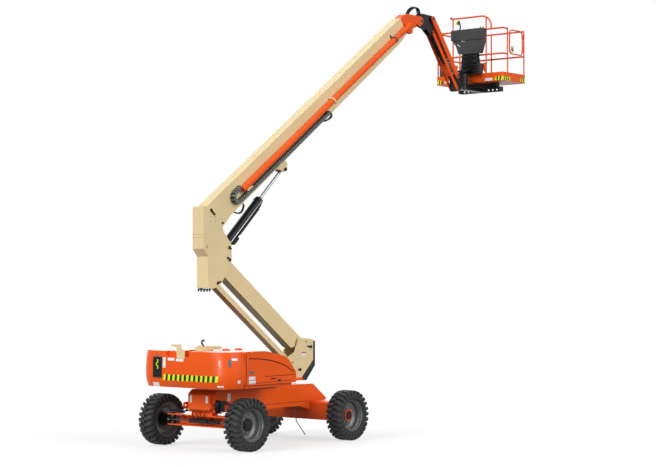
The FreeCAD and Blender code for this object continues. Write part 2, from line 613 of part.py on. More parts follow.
# ---------------------------------------------------------------- main boom
def make_main_boom():
    """The base box with its heel and lift ear, the fly box inside it, and the lift cylinder."""
    base = Piece("base_boom", "boom")
    length = size("boom_length")
    side = [
        (-110, 100, 60), (length, 100), (length, -290), (length - 320, -330), (1500, -390), (420, -395),
        (140, -450, 60), (20, -430, 40), (-110, -120, 100),
    ]
    base.pad(base.outline("XZ_Plane", side), "2 * dims.boom_half")
    bore = box_corners(-103, -290, 103, 90)
    base.pocket(base.outline("YZ_Plane", bore, 330), length, both=False, flip=True)
    ear_x, ear_z = in_frame("boom", LIFT_EAR)
    ear = [
        (ear_x - 210, -380), (ear_x - 60, ear_z - 10, 40), (ear_x + 60, ear_z - 55, 50),
        (ear_x + 130, ear_z + 60, 50),
        (ear_x + 110, -380),
    ]
    for offset in (-84, 60):
        base.pad(base.outline("XZ_Plane", ear, offset), 24, both=False)
    for offset in (-104, 84):
        base.pad(base.circles("XZ_Plane", [(ear_x, ear_z)], "dims.tower_pin", offset), 20, both=False)
    recess = [
        (ear_x - 600, -420), (ear_x - 600, -372), (ear_x - 190, -318), (ear_x - 190, -302),
        (ear_x + 120, -302),
        (ear_x + 120, -420),
    ]
    base.pocket(base.outline("XZ_Plane", recess), 118)
    base.pocket(base.circles("XZ_Plane", [(0, 0)], "dims.tower_pin + 0.5"))

    fly = Piece("fly_boom", "boom")
    fly_end = length + 210
    fly.pad(fly.outline("YZ_Plane", box_corners(-92, -278, 92, 78, 12), 400), fly_end - 400, both=False)
    hollow = fly.outline("YZ_Plane", box_corners(-84, -270, 84, 70, 8), 380)
    fly.pocket(hollow, fly_end - 500, both=False, flip=True)
    pivot = in_frame("boom", LEVEL_PIVOT)
    nose = [
        (fly_end - 120, -270), (fly_end - 120, 76), (fly_end + 60, 60, 40),
        (pivot[0] + 20, pivot[1] + 90, 60),
        (pivot[0] + 75, pivot[1] - 30, 60), (pivot[0] - 60, pivot[1] - 75, 60), (fly_end + 70, -300, 60),
        (fly_end + 20, -380, 30), (fly_end - 70, -360, 30),
    ]
    fly.pad(fly.outline("XZ_Plane", nose), 196)
    slot = [(fly_end + 6, -500), (fly_end + 800, -500), (fly_end + 800, 200), (fly_end + 6, 200)]
    fly.pocket(fly.outline("XZ_Plane", slot), 162)
    tail = box_corners(fly_end - 160, -500, fly_end + 5, -281)
    fly.pocket(fly.outline("XZ_Plane", tail), 100)
    fly.pocket(fly.circles("XZ_Plane", [pivot], "dims.jib_pin + 0.5"))

    barrel = Piece("lift_barrel", "lift")
    barrel_end = 1360.0
    barrel.pad(barrel.circles("YZ_Plane", [(0, 0)], "dims.lift_barrel", 30), barrel_end - 30, both=False)
    barrel.pad(barrel.circles("XZ_Plane", [(0, 0)], 70), 110)
    valves = box_corners(220, -145, 400, -60, 10)
    barrel.pad(barrel.outline("XZ_Plane", valves), 96)
    barrel.pocket(barrel.circles("XZ_Plane", [(0, 0)], "dims.tower_pin + 0.5"))
    bore = barrel.circles("YZ_Plane", [(0, 0)], "dims.lift_rod + 0.5", 200)
    barrel.pocket(bore, barrel_end, both=False, flip=True)
    rod = Piece("lift_rod", "lift")
    rod.pad(rod.circles("YZ_Plane", [(0, 0)], "dims.lift_rod", LIFT_LENGTH - 1540), 1520, both=False)
    rod.pad(rod.circles("XZ_Plane", [(LIFT_LENGTH, 0)], 46), 100)
    rod.pocket(rod.circles("XZ_Plane", [(LIFT_LENGTH, 0)], 24))


def make_boom_services():
    """The hose carrier tube beside the boom and the folded chain track that feeds it."""
    tube = Piece("side_tube", "boom")
    y = size("side_tube_y")
    start = 905.0
    bar = tube.circles("YZ_Plane", [(y, -140)], "dims.side_tube", start)
    tube.pad(bar, size("boom_length") + 130 - start, both=False)
    clamp = box_corners(size("boom_length") + 60, -190, size("boom_length") + 130, -90, 10)
    tube.pad(tube.outline("XZ_Plane", clamp, 98), abs(y) - 98, both=False)
    track = Piece("power_track", "boom")
    loop = [
        (585, -43, 134), (585, -313, 134), (3930, -313, 25), (3930, -245, 25), (655, -245, 66),
        (655, -111, 66),
        (880, -111), (880, -43),
    ]
    track.pad(track.outline("XZ_Plane", loop, size("boom_half")), 90, both=False)


# ---------------------------------------------------------------- jib and platform
def make_jib():
    """The levelled head, the jib's two pairs of bars, the cylinder between them and the rotator."""
    step = (size("jib_link_x"), size("jib_link_z"))
    link_head = (JIB_HEAD[0] + step[0], JIB_HEAD[1] + step[1])
    link_foot = (JIB_FOOT[0] + step[0], JIB_FOOT[1] + step[1])
    head = Piece("jib_head")
    cheek = [
        (5150, 8560, 50), (5150, 8680, 50), (5240, 8760, 40), (5640, 8745, 45), (5660, 8640, 40),
        (5640, 8480),
        (5680, 8390, 45), (5640, 8338, 40), (5570, 8350, 40), (5440, 8440), (5240, 8530, 40),
    ]
    head.pad(head.outline("XZ_Plane", cheek), 150)
    gap = [(5440, 8100), (5440, 8640, 30), (5520, 8700, 30), (5520, 8900), (5900, 8900), (5900, 8100)]
    head.pocket(head.outline("XZ_Plane", gap), 110)
    head.pad(head.circles("XZ_Plane", [LEVEL_PIVOT], "dims.jib_pin"), 216)
    head.pad(head.circles("XZ_Plane", [JIB_RAM_FOOT], "dims.jib_pin"), 150)
    for low, high, place in ((74, 126, JIB_HEAD), (74, 96, link_head)):
        head.bar(low, high, [place], "dims.jib_pin")
        head.bar(-high, -low, [place], "dims.jib_pin")

    jib = Piece("jib_boom", "jib")
    bar = [(-58, 58, 54), (-58, -58, 54), (JIB_LENGTH + 58, -58, 54), (JIB_LENGTH + 58, 58, 54)]
    for offset in (-120, 100):
        jib.pad(jib.outline("XZ_Plane", bar, offset), 20, both=False)
    web = box_corners(180, 56, 1040, 66)
    jib.pad(jib.outline("XZ_Plane", web), 240)
    jib.pocket(jib.circles("XZ_Plane", [(0, 0), (JIB_LENGTH, 0)], "dims.jib_pin + 0.5"))

    link = Piece("jib_link", "jib")
    start = in_frame("jib", link_head)
    reach = start[0] + JIB_LENGTH
    arm = [
        (start[0] - 36, start[1] - 36, 35), (reach + 36, start[1] - 36, 35),
        (reach + 36, start[1] + 36, 35),
        (start[0] - 36, start[1] + 36, 35),
    ]
    for offset in (-95, 80):
        link.pad(link.outline("XZ_Plane", arm, offset), 15, both=False)
    tie = box_corners(start[0] + 960, start[1] - 12, start[0] + 1100, start[1] + 12)
    link.pad(link.outline("XZ_Plane", tie), 190)
    link.pocket(link.circles("XZ_Plane", [start, (reach, start[1])], "dims.jib_pin + 0.5"))

    barrel = Piece("jib_barrel", "jib_ram")
    barrel.pad(barrel.circles("YZ_Plane", [(0, 0)], 40, 20), JIB_RAM_LENGTH - 280, both=False)
    barrel.pad(barrel.circles("XZ_Plane", [(0, 0)], 40), 96)
    barrel.pocket(barrel.circles("XZ_Plane", [(0, 0)], "dims.jib_pin + 0.5"))
    barrel.pocket(barrel.circles("YZ_Plane", [(0, 0)], 22.5, 90), JIB_RAM_LENGTH, both=False, flip=True)
    rod = Piece("jib_rod", "jib_ram")
    rod.pad(rod.circles("YZ_Plane", [(0, 0)], 22, 330), JIB_RAM_LENGTH - 350, both=False)
    rod.pad(rod.circles("XZ_Plane", [(JIB_RAM_LENGTH, 0)], 40), 80)
    rod.pocket(rod.circles("XZ_Plane", [(JIB_RAM_LENGTH, 0)], 20))

    mount = Piece("rotator_mount")
    foot = JIB_FOOT
    arm = [
        (foot[0] - 50, foot[1] - 50, 45), (foot[0] - 50, foot[1] + 60, 45),
        (foot[0] + 150, foot[1] + 90, 30),
        (foot[0] + 270, foot[1] + 90), (foot[0] + 270, foot[1] - 120),
        (link_foot[0] + 60, link_foot[1] - 40, 40),
        (link_foot[0] - 48, link_foot[1] - 40, 40), (link_foot[0] - 48, link_foot[1] + 50, 40),
    ]
    mount.pad(mount.outline("XZ_Plane", arm), 150)
    for low, high, place in ((74, 126, foot), (74, 96, link_foot)):
        mount.bar(low, high, [place], "dims.jib_pin")
        mount.bar(-high, -low, [place], "dims.jib_pin")
    column = mount.circles("XY_Plane", [(size("rotator_x"), 0)], 118, foot[1] - 150)
    mount.pad(column, 230, both=False)


def make_platform():
    """The basket: a framed floor with toe boards, tube rails, console and swinging gate."""
    floor = Piece("platform_floor")
    x_low = size("basket_x")
    deep = size("basket_deep")
    half = size("basket_half")
    base = size("basket_floor")
    plan = box_corners(x_low, -half, x_low + deep, half, 30)
    floor.pad(floor.outline("XY_Plane", plan, base), "dims.toe_board", both=False)
    inner = box_corners(x_low + 4, -half + 4, x_low + deep - 4, half - 4, 26)
    floor.pocket(floor.outline("XY_Plane", inner, base + 30), 400, both=False, flip=True)
    tread = box_corners(x_low + 60, -half + 60, x_low + deep - 60, half - 60, 20)
    floor.pad(floor.outline("XY_Plane", tread, base + 29), 4, both=False)

    rails = Piece("platform_rails")
    inset = size("tube_radius") + 2
    edge_x = (x_low + inset + 4, x_low + deep - inset - 4)
    edge_y = (-half + inset + 4, half - inset - 4)
    gate_post = size("gate_post_x")
    posts = [(edge_x[0], edge_y[1]), (edge_x[1], edge_y[1]), (edge_x[1], 0.0), (edge_x[1], edge_y[0])]
    posts += [(gate_post, edge_y[0])]
    corner_posts = rails.circles("XY_Plane", posts, "dims.post_radius", base + 30)
    rails.pad(corner_posts, size("top_rail") - 30, both=False)
    crown = size("guard_rail")
    for y, reach in ((455.0, crown), (-435.0, crown - 30)):
        post = rails.circles("XY_Plane", [(edge_x[0], y)], "dims.post_radius", base + 30)
        rails.pad(post, reach - 30, both=False)
    for level in (size("mid_rail"), size("top_rail")):
        long_rails = rails.circles("XZ_Plane", [(x, base + level) for x in edge_x], "dims.tube_radius")
        rails.pad(long_rails, edge_y[1] - edge_y[0])
        for side, far in ((edge_y[1], edge_x[1]), (edge_y[0], gate_post)):
            short = rails.circles("YZ_Plane", [(side, base + level)], "dims.tube_radius", edge_x[0])
            rails.pad(short, far - edge_x[0], both=False)
    bend = [(505, base + crown), (-571, base + crown, 250), (-571, base + size("top_rail"))]
    path = rails.outline("YZ_Plane", bend, edge_x[0], closed=False)
    rails.sweep(path, rails.circles("XZ_Plane", [(edge_x[0], base + crown)], "dims.tube_radius", -505))

    gate = Piece("gate")
    y = edge_y[0]
    pin_x = size("gate_pin_x")
    middle = (gate_post + pin_x) / 2.0
    loop = [
        (middle, base + 615), (pin_x - 31, base + 615, 90), (pin_x - 31, base + 1145, 90),
        (gate_post + 80, base + 1145, 90), (gate_post + 80, base + 615, 90),
    ]
    frame = gate.outline("XZ_Plane", loop, -y)
    gate.sweep(frame, gate.circles("YZ_Plane", [(y, base + 615)], 15, middle))
    for level in (base + 700, base + 1000):
        web = box_corners(pin_x - 24, y - 7, pin_x - 8, y + 7)
        gate.pad(gate.outline("XY_Plane", web, level), 60, both=False)
        gate.pad(gate.circles("XY_Plane", [(pin_x, y)], "dims.hinge_barrel", level), 60, both=False)
        hole = gate.circles("XY_Plane", [(pin_x, y)], "dims.hinge_pin + 0.5", level - 10)
        gate.pocket(hole, 80, both=False, flip=True)
        rails.pad(rails.circles("XY_Plane", [(pin_x, y)], "dims.hinge_pin", level - 10), 80, both=False)
        for plate in (level - 14, level + 66):
            ear = box_corners(pin_x - 10, y - 10, pin_x + 28, y + 10)
            rails.pad(rails.outline("XY_Plane", ear, plate), 8, both=False)

    support = Piece("platform_support")
    turret = support.circles("XY_Plane", [(size("rotator_x"), 0)], 112, 7255)
    support.pad(turret, 117, both=False)
    beam = box_corners(7472, 7255, 7646, 7362, 10)
    support.pad(support.outline("XZ_Plane", beam), 1090)
    arms = box_corners(size("rotator_x") - 60, 7260, 7500, 7330, 20)
    support.pad(support.outline("XZ_Plane", arms), 180)
    legs = box_corners(7490, 7350, 7630, base)
    support.pad(support.outline("XZ_Plane", legs), 900)
    for low_y, high_y in ((100, 533), (-533, -100)):
        inside = support.outline("XZ_Plane", box_corners(7484, 7240, 7634, 7345), -high_y)
        support.pocket(inside, high_y - low_y, both=False, flip=True)
    spots = [(side * spot, 7298.0) for spot in (163, 272, 381, 490) for side in (1, -1)]
    support.pocket(support.circles("YZ_Plane", spots, 28, 7460), 200, both=False, flip=True)

    console = Piece("platform_console")
    panel = box_corners(-448, 8385, 405, 8618, 18)
    console.pad(console.outline("YZ_Plane", panel, x_low - 132), 137, both=False)
    skirt = [
        (-440, 8390), (385, 8390), (288, 8272, 60), (220, 8085, 30), (-367, 8070, 30), (-440, 8330, 60),
    ]
    console.pad(console.outline("YZ_Plane", skirt, x_low - 112), 112, both=False)
    for name, low, high, start, deep_x in (
        ("tool_box", (590, 7560), (840, base + size("mid_rail") - 19.5), x_low + 47, 140),
        ("socket_box", (-370, base + size("toe_board") + 0.5), (-100, 7850), x_low - 95, 94),
    ):
        case = Piece(name)
        face = box_corners(low[0], low[1], high[0], high[1], 20)
        case.pad(case.outline("YZ_Plane", face, start), deep_x, both=False)


make_chassis_frame()
make_steer_axle()
make_steering()
make_drive_axle()
make_slew_bearing()
make_tie_down_lugs()
make_under_frame_parts()
for wheel, end, hand in (
    ("steer_left", -1, 1), ("steer_right", -1, -1), ("drive_left", 1, 1), ("drive_right", 1, -1),
):
    make_wheel(wheel, end * size("axle_reach"), hand)
make_turntable()
make_counterweight()
make_tower_mount()
make_hood("hood_left", 1)
make_hood("hood_right", -1)
make_turntable_contents()
make_tower()
make_main_boom()
make_boom_services()
make_jib()
make_platform()

doc.recompute()
faults = [item.Name for item in doc.Objects if "Invalid" in item.State or "Error" in item.State]
if faults:
    raise RuntimeError("failed features: " + ", ".join(faults))
os.makedirs("parts", exist_ok=True)
for part in PARTS:
    shape = part.Shape
    if shape.isNull() or not shape.isValid():
        raise RuntimeError("bad shape: " + part.Label)
    name = "parts/" + part.Label + ".step"
    shape.exportStep(name)
    print(part.Label, len(shape.Solids), round(shape.Volume / 1e6, 2))
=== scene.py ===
import json
import math

import bmesh
import bpy
from mathutils import Matrix, Vector
from mathutils.bvhtree import BVHTree


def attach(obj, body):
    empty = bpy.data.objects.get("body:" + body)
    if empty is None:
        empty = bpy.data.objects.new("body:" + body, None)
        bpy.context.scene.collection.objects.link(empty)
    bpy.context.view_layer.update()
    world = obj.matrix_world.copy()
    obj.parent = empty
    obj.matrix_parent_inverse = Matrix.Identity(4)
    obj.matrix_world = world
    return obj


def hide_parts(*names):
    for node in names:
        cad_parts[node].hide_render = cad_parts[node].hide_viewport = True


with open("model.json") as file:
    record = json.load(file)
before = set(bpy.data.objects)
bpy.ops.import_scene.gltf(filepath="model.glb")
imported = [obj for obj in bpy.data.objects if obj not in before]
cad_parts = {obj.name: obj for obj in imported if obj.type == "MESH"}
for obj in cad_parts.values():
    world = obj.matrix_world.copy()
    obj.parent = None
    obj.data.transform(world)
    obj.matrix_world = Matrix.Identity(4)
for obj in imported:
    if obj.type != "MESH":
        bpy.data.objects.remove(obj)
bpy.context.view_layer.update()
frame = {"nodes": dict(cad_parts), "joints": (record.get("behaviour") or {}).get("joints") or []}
nodes = frame["nodes"]

# ---- Studio -------------------------------------------------------------------------------
# A pale matt floor under a soft overcast of white panels, with the key light behind the tail,
# fills to either side and a narrow strip light along the tail's corner. The camera stands low and
# far back on the machine's right.
slew = next(joint for joint in frame["joints"] if joint["name"] == "slew")
datum = slew["pos_m"][0]


def at(x, y, z):
    """A point measured from the slewing axis, in the part's own frame."""
    return Vector((x + datum, y, z))


def in_scene(name, data):
    """Stands an object that holds the given data at the origin."""
    made = bpy.data.objects.new(name, data)
    bpy.context.scene.collection.objects.link(made)
    return made


def tools_for(tree):
    """Two short ways to work on a node tree: add a node, already set up, and join two sockets."""
    def add(kind, values=None, **settings):
        made = tree.nodes.new(kind)
        for key, value in settings.items():
            setattr(made, key, value)
        for socket, value in (values or {}).items():
            made.inputs[socket].default_value = value
        return made

    return add, tree.links.new


def backdrop_ray(tree):
    """One for rays that ought to see the studio's white: from the camera, a gloss or a glass."""
    add, join = tools_for(tree)
    ray = add("ShaderNodeLightPath")
    either = ray.outputs["Is Camera Ray"]
    for kind in ("Is Glossy Ray", "Is Transmission Ray"):
        larger = add("ShaderNodeMath", operation="MAXIMUM")
        join(either, larger.inputs[0])
        join(ray.outputs[kind], larger.inputs[1])
        either = larger.outputs[0]
    return either


floor_reach, floor_level = 400, -0.001
floor_corners = [(x * floor_reach, y * floor_reach, floor_level)
                 for x, y in ((-1, -1), (1, -1), (1, 1), (-1, 1))]
floor_mesh = bpy.data.meshes.new("floor")
floor_mesh.from_pydata(floor_corners, [], [(0, 1, 2, 3)])
floor = in_scene("floor", floor_mesh)
floor_paint = bpy.data.materials.new("studio_floor")
floor_paint.use_nodes = True
tree = floor_paint.node_tree
tree.nodes.clear()
add, join = tools_for(tree)
shaded = add("ShaderNodeBsdfDiffuse", {"Color": (0.36, 0.36, 0.36, 1)})
glow = add("ShaderNodeEmission", {"Strength": 0.63})
seen_floor = add("ShaderNodeAddShader")
bounce = add("ShaderNodeBsdfDiffuse", {"Color": (0.16, 0.16, 0.16, 1)})
pick = add("ShaderNodeMixShader")
end = add("ShaderNodeOutputMaterial")
join(shaded.outputs[0], seen_floor.inputs[0])
join(glow.outputs[0], seen_floor.inputs[1])
join(backdrop_ray(tree), pick.inputs[0])
join(bounce.outputs[0], pick.inputs[1])
join(seen_floor.outputs[0], pick.inputs[2])
join(pick.outputs[0], end.inputs["Surface"])
floor_mesh.materials.append(floor_paint)

world = bpy.data.worlds.new("studio")
bpy.context.scene.world = world
world.use_nodes = True
sky = world.node_tree
sky.nodes.clear()
add, join = tools_for(sky)
level = add("ShaderNodeMapRange", {"To Min": 0.40, "To Max": 1.0})
air = add("ShaderNodeBackground", {"Color": (1, 1, 1, 1)})
sky_end = add("ShaderNodeOutputWorld")
join(backdrop_ray(sky), level.inputs["Value"])
join(level.outputs[0], air.inputs["Strength"])
join(air.outputs[0], sky_end.inputs["Surface"])


def sun(name, direction, strength, softness):
    """A distant lamp that shines along a direction; softness is its width in degrees."""
    lamp = bpy.data.lights.new(name, "SUN")
    lamp.energy = strength
    lamp.angle = math.radians(softness)
    holder = in_scene(name, lamp)
    holder.rotation_euler = Vector(direction).to_track_quat("-Z", "Y").to_euler()
    return holder


sun("key", (0.86, -0.12, -0.50), 1.95, 30)
sun("rear_fill", (0.96, 0.08, -0.16), 0.95, 60)
sun("right_fill", (-0.10, 0.95, -0.40), 1.85, 40)
sun("front_fill", (-0.75, -0.55, -0.35), 1.1, 40)
strip_light = sun("strip_light", (0.95, 0.293, -0.06), 2.6, 4)
strip_light.visible_diffuse = False

heading, climb = math.radians(39.236), math.radians(1.432)
ahead = Vector((math.cos(climb) * math.cos(heading), math.cos(climb) * math.sin(heading), math.sin(climb)))
side = Vector((math.sin(heading), -math.cos(heading), 0))
lens = bpy.data.cameras.new("camera")
lens.sensor_width = 36
lens.lens = 96.08
lens.clip_end = 2000
camera = in_scene("camera", lens)
looking = Matrix((side, side.cross(ahead), -ahead)).transposed().to_4x4()
camera.matrix_world = Matrix.Translation(at(-24.896, -22.091, 3.126)) @ looking
bpy.context.scene.camera = camera
bpy.context.scene.view_settings.view_transform = "Standard"


# ---- Tail casting and turntable deck ------------------------------------------------------
# The counterweight is one heavy casting in gloss orange enamel, bellied like a barrel, with the
# deck plate and its two bulkheads behind it. The paint has a slight orange peel and road dust.
def new_group(name, kind, inputs, outputs):
    """A node group with its sockets; an input is a label, a kind and, where it has one, a value."""
    made = bpy.data.node_groups.new(name, kind)
    for label, socket_kind, *value in inputs:
        socket = made.interface.new_socket(label, in_out="INPUT", socket_type="NodeSocket" + socket_kind)
        if value:
            socket.default_value = value[0]
    for label, socket_kind in outputs:
        made.interface.new_socket(label, in_out="OUTPUT", socket_type="NodeSocket" + socket_kind)
    add, join = tools_for(made)
    return made, add, join, add("NodeGroupInput"), add("NodeGroupOutput")


def coat_film():
    """The wear that sprayed enamel takes: peel, fading, scuffs and low dust, with painted shade that darkens
    faces looking down.
    """
    made, add, join, enter, leave = new_group("enamel_film", "ShaderNodeTree", (
        ("Peel Scale", "Float", 60.0), ("Dust Height", "Float", 0.9), ("Colour", "Color", (1, 1, 1, 1)),
        ("Dust Colour", "Color", (0.30, 0.24, 0.17, 1)), ("Grime", "Float", 0.3),
        ("Grime Colour", "Color", (0.060, 0.085, 0.040, 1)),
    ), (("Colour", "Color"), ("Roughness", "Float"), ("Peel", "Float")))

    def product(first, second):
        """The product of two masks."""
        times = add("ShaderNodeMath", operation="MULTIPLY")
        join(first, times.inputs[0])
        join(second, times.inputs[1])
        return times.outputs[0]

    def laid_over(mask, under, over):
        """One colour laid over another where the mask says."""
        mixed = add("ShaderNodeMix", data_type="RGBA")
        join(mask, mixed.inputs["Factor"])
        join(under, mixed.inputs["A"])
        join(over, mixed.inputs["B"])
        return mixed.outputs["Result"]

    place = add("ShaderNodeTexCoord")
    peel = add("ShaderNodeTexNoise")
    join(place.outputs["Object"], peel.inputs["Vector"])
    join(enter.outputs["Peel Scale"], peel.inputs["Scale"])
    join(peel.outputs["Fac"], leave.inputs["Peel"])

    fade = add("ShaderNodeTexNoise", {"Scale": 0.9, "Detail": 5})
    join(place.outputs["Object"], fade.inputs["Vector"])
    shade = add("ShaderNodeMapRange", {"From Min": 0.3, "From Max": 0.7, "To Min": 0.94, "To Max": 1.03})
    join(fade.outputs["Fac"], shade.inputs["Value"])
    tone = add("ShaderNodeVectorMath", operation="SCALE")
    join(enter.outputs["Colour"], tone.inputs[0])
    join(shade.outputs[0], tone.inputs["Scale"])

    split = add("ShaderNodeSeparateXYZ")
    join(place.outputs["Object"], split.inputs[0])
    low = add("ShaderNodeMapRange", {"From Min": 0.0, "To Min": 0.30, "To Max": 0.0})
    join(split.outputs["Z"], low.inputs["Value"])
    join(enter.outputs["Dust Height"], low.inputs["From Max"])
    dust = product(low.outputs[0], fade.outputs["Fac"])
    dusty = laid_over(dust, tone.outputs[0], enter.outputs["Dust Colour"])

    # Painted shade: faces that look down are darkened towards a dark olive, standing in for the shade that
    # falls under the parts.
    facing = add("ShaderNodeSeparateXYZ")
    join(place.outputs["Normal"], facing.inputs[0])
    under = add("ShaderNodeMapRange", {"From Min": -0.66, "From Max": -0.80})
    join(facing.outputs["Z"], under.inputs["Value"])
    underside_shade_mask = product(under.outputs[0], enter.outputs["Grime"])
    join(laid_over(underside_shade_mask, dusty, enter.outputs["Grime Colour"]), leave.inputs["Colour"])

    stretch = add("ShaderNodeMapping", {"Scale": (3.0, 3.0, 7.0)})
    join(place.outputs["Object"], stretch.inputs["Vector"])
    scuff = add("ShaderNodeTexNoise", {"Scale": 1.6, "Detail": 2})
    join(stretch.outputs[0], scuff.inputs["Vector"])
    rough = add("ShaderNodeMapRange", {"From Min": 0.35, "From Max": 0.70, "To Min": 0.33, "To Max": 0.42})
    join(scuff.outputs["Fac"], rough.inputs["Value"])
    join(rough.outputs[0], leave.inputs["Roughness"])
    return made


film = coat_film()


def bare_finish(name):
    """A new finish: the material, its shader, and the two ways to work on its tree."""
    paint = bpy.data.materials.new(name)
    paint.use_nodes = True
    return paint, paint.node_tree.nodes["Principled BSDF"], *tools_for(paint.node_tree)


def enamel(name, colour, peel_scale=60.0, dust_height=0.9, bump=0.03, coat=0.10, metal=0.0, gloss=0.25,
           underside_shade=0.3):
    """A sprayed finish; colour is linear, gloss is its reflection and coat the clear layer on it. Its last
    setting is the strength of painted shade on faces that look down.
    """
    paint, skin, add, join = bare_finish(name)
    wear = add("ShaderNodeGroup", {"Peel Scale": peel_scale, "Dust Height": dust_height,
                                   "Colour": (*colour, 1), "Grime": underside_shade}, node_tree=film)
    dimple = add("ShaderNodeBump", {"Strength": bump, "Distance": 0.002})
    join(wear.outputs["Colour"], skin.inputs["Base Color"])
    join(wear.outputs["Roughness"], skin.inputs["Roughness"])
    join(wear.outputs["Peel"], dimple.inputs["Height"])
    join(dimple.outputs["Normal"], skin.inputs["Normal"])
    skin.inputs["Specular IOR Level"].default_value = gloss
    skin.inputs["Coat Weight"].default_value = coat
    skin.inputs["Coat Roughness"].default_value = 0.12
    skin.inputs["Metallic"].default_value = metal
    return paint


def finish_nodes(paint, *names):
    """Gives CAD nodes one finish in place of the plain one they were packed with."""
    for node_name in names:
        nodes[node_name].data.materials.clear()
        nodes[node_name].data.materials.append(paint)


orange = enamel("orange_enamel", (0.80, 0.094, 0.006), coat=0.05, gloss=0.12)
finish_nodes(orange, "counterweight", "turntable_deck")


# ---- Hazard tape and blank plates on the tail ---------------------------------------------
# Printed vinyl, laid on the finished paint. The tape is yellow-green and black blocks round the
# tail's right corner, and the plates are left blank. Each one follows the casting under it.
def skin_of(node_name):
    """A CAD node as something that a ray can be sent at."""
    target = nodes[node_name].data
    corners = [v.co.copy() for v in target.vertices]
    return BVHTree.FromPolygons(corners, [tuple(p.vertices) for p in target.polygons])


def put(name, mesh, body, *paints):
    """Stands a finished mesh at the origin and lets it move with a body."""
    made = in_scene(name, mesh)
    if paints:
        mesh.materials.clear()
    for paint in paints:
        mesh.materials.append(paint)
    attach(made, body)
    return made


def film_on(skin, rows, lift=0.0012):
    """A thin film over a skin: each row is a list of (point, direction) rays that find it."""
    points, faces, index = [], [], {}
    for r, row in enumerate(rows):
        for c, (start, way) in enumerate(row):
            hit, normal, _, _ = skin.ray_cast(start, way)
            if hit is None:
                continue
            if normal.dot(way) > 0:
                normal = -normal
            index[r, c] = len(points)
            points.append(hit + normal * lift)
    for r in range(len(rows) - 1):
        for c in range(len(rows[0]) - 1):
            ring = [(r, c), (r, c + 1), (r + 1, c + 1), (r + 1, c)]
            if all(key in index for key in ring):
                faces.append([index[key] for key in ring])
    made = bpy.data.meshes.new("film")
    made.from_pydata(points, [], faces)
    for poly in made.polygons:
        poly.use_smooth = True
    return made


def face_out(mesh, away_from):
    """Turns a film's faces to look away from a point inside the piece it lies on."""
    if len(mesh.polygons) and sum((p.center - away_from).dot(p.normal) for p in mesh.polygons) < 0:
        mesh.flip_normals()
    return mesh


def patch(skin, centre, way, wide, high, across, cells=6):
    """A rectangular label: rays leave a plane along way and land on the skin."""
    rows = []
    for r in range(cells + 1):
        drop = way.cross(across).normalized() * (r / cells - 0.5) * high
        row = [centre - way * 0.6 + across * (c / cells - 0.5) * wide + drop for c in range(cells + 1)]
        rows.append([(start, way) for start in row])
    return face_out(film_on(skin, rows), centre + way * 2)


def tail_ray(s, z):
    """A ray at the tail's wall, s metres round it from its middle towards the right side."""
    flat, corner = 0.682, 0.47
    turned_by = (abs(s) - flat) / corner
    hand = -math.copysign(1.0, s)
    if turned_by <= 0:
        point, way = (-2.062, -s), (1.0, 0.0)
    elif turned_by < math.pi / 2:
        point = (-1.592 - corner * math.cos(turned_by), hand * (flat + corner * math.sin(turned_by)))
        way = (math.cos(turned_by), -hand * math.sin(turned_by))
    else:
        point, way = (-1.592 + corner * (turned_by - math.pi / 2), hand * 1.152), (0.0, -hand)
    way = Vector((*way, 0))
    return at(*point, z) - way * 0.4, way


def vinyl(name, colour, roughness=0.45):
    """A printed film with a faint grain, so that it isn't dead flat under the lamps."""
    made, skin, add, join = bare_finish(name)
    place = add("ShaderNodeTexCoord")
    grain = add("ShaderNodeTexNoise", {"Scale": 35})
    join(place.outputs["Object"], grain.inputs["Vector"])
    darker = (*[c * 0.86 for c in colour], 1)
    blend = add("ShaderNodeMix", data_type="RGBA")
    blend.inputs["A"].default_value = darker
    blend.inputs["B"].default_value = (*colour, 1)
    join(grain.outputs["Fac"], blend.inputs["Factor"])
    join(blend.outputs["Result"], skin.inputs["Base Color"])
    skin.inputs["Roughness"].default_value = roughness
    skin.inputs["Specular IOR Level"].default_value = 0.25
    return made


tape_bright = vinyl("tape_yellow_green", (0.70, 0.90, 0.0))
tape_black = vinyl("tape_black", (0.010, 0.010, 0.012))
plate_white = vinyl("plate_white", (0.78, 0.80, 0.82))
plate_red = vinyl("plate_red", (0.62, 0.02, 0.03))
plate_grey = vinyl("plate_grey", (0.10, 0.14, 0.16))
tail_skin = skin_of("counterweight")


def tape(name, skin, ray, start, stop, low, high, blocks, body, inside, lean=0.02):
    """Slanted blocks of hazard tape along a wall; ray(s, z) aims at the wall s metres along it."""
    width = (stop - start) / blocks
    for k in range(blocks):
        rows = []
        for r in range(5):
            z = low + (high - low) * r / 4
            slant = lean * (r / 4 - 0.5)
            rows.append([ray(start + width * (k + c / 5) + slant, z) for c in range(6)])
        mesh = face_out(film_on(skin, rows), inside)
        put(f"{name}_{k:02d}", mesh, body, tape_black if k % 2 else tape_bright)


def wall_plate(name, skin, ray, s, z, wide, high, body, inside, paint):
    """A blank plate on a wall; ray(s, z) aims at the wall s metres along it."""
    rows = [[ray(s + (c / 6 - 0.5) * wide, z + (r / 4 - 0.5) * high) for c in range(7)]
            for r in range(5)]
    put(name, face_out(film_on(skin, rows), inside), body, paint)


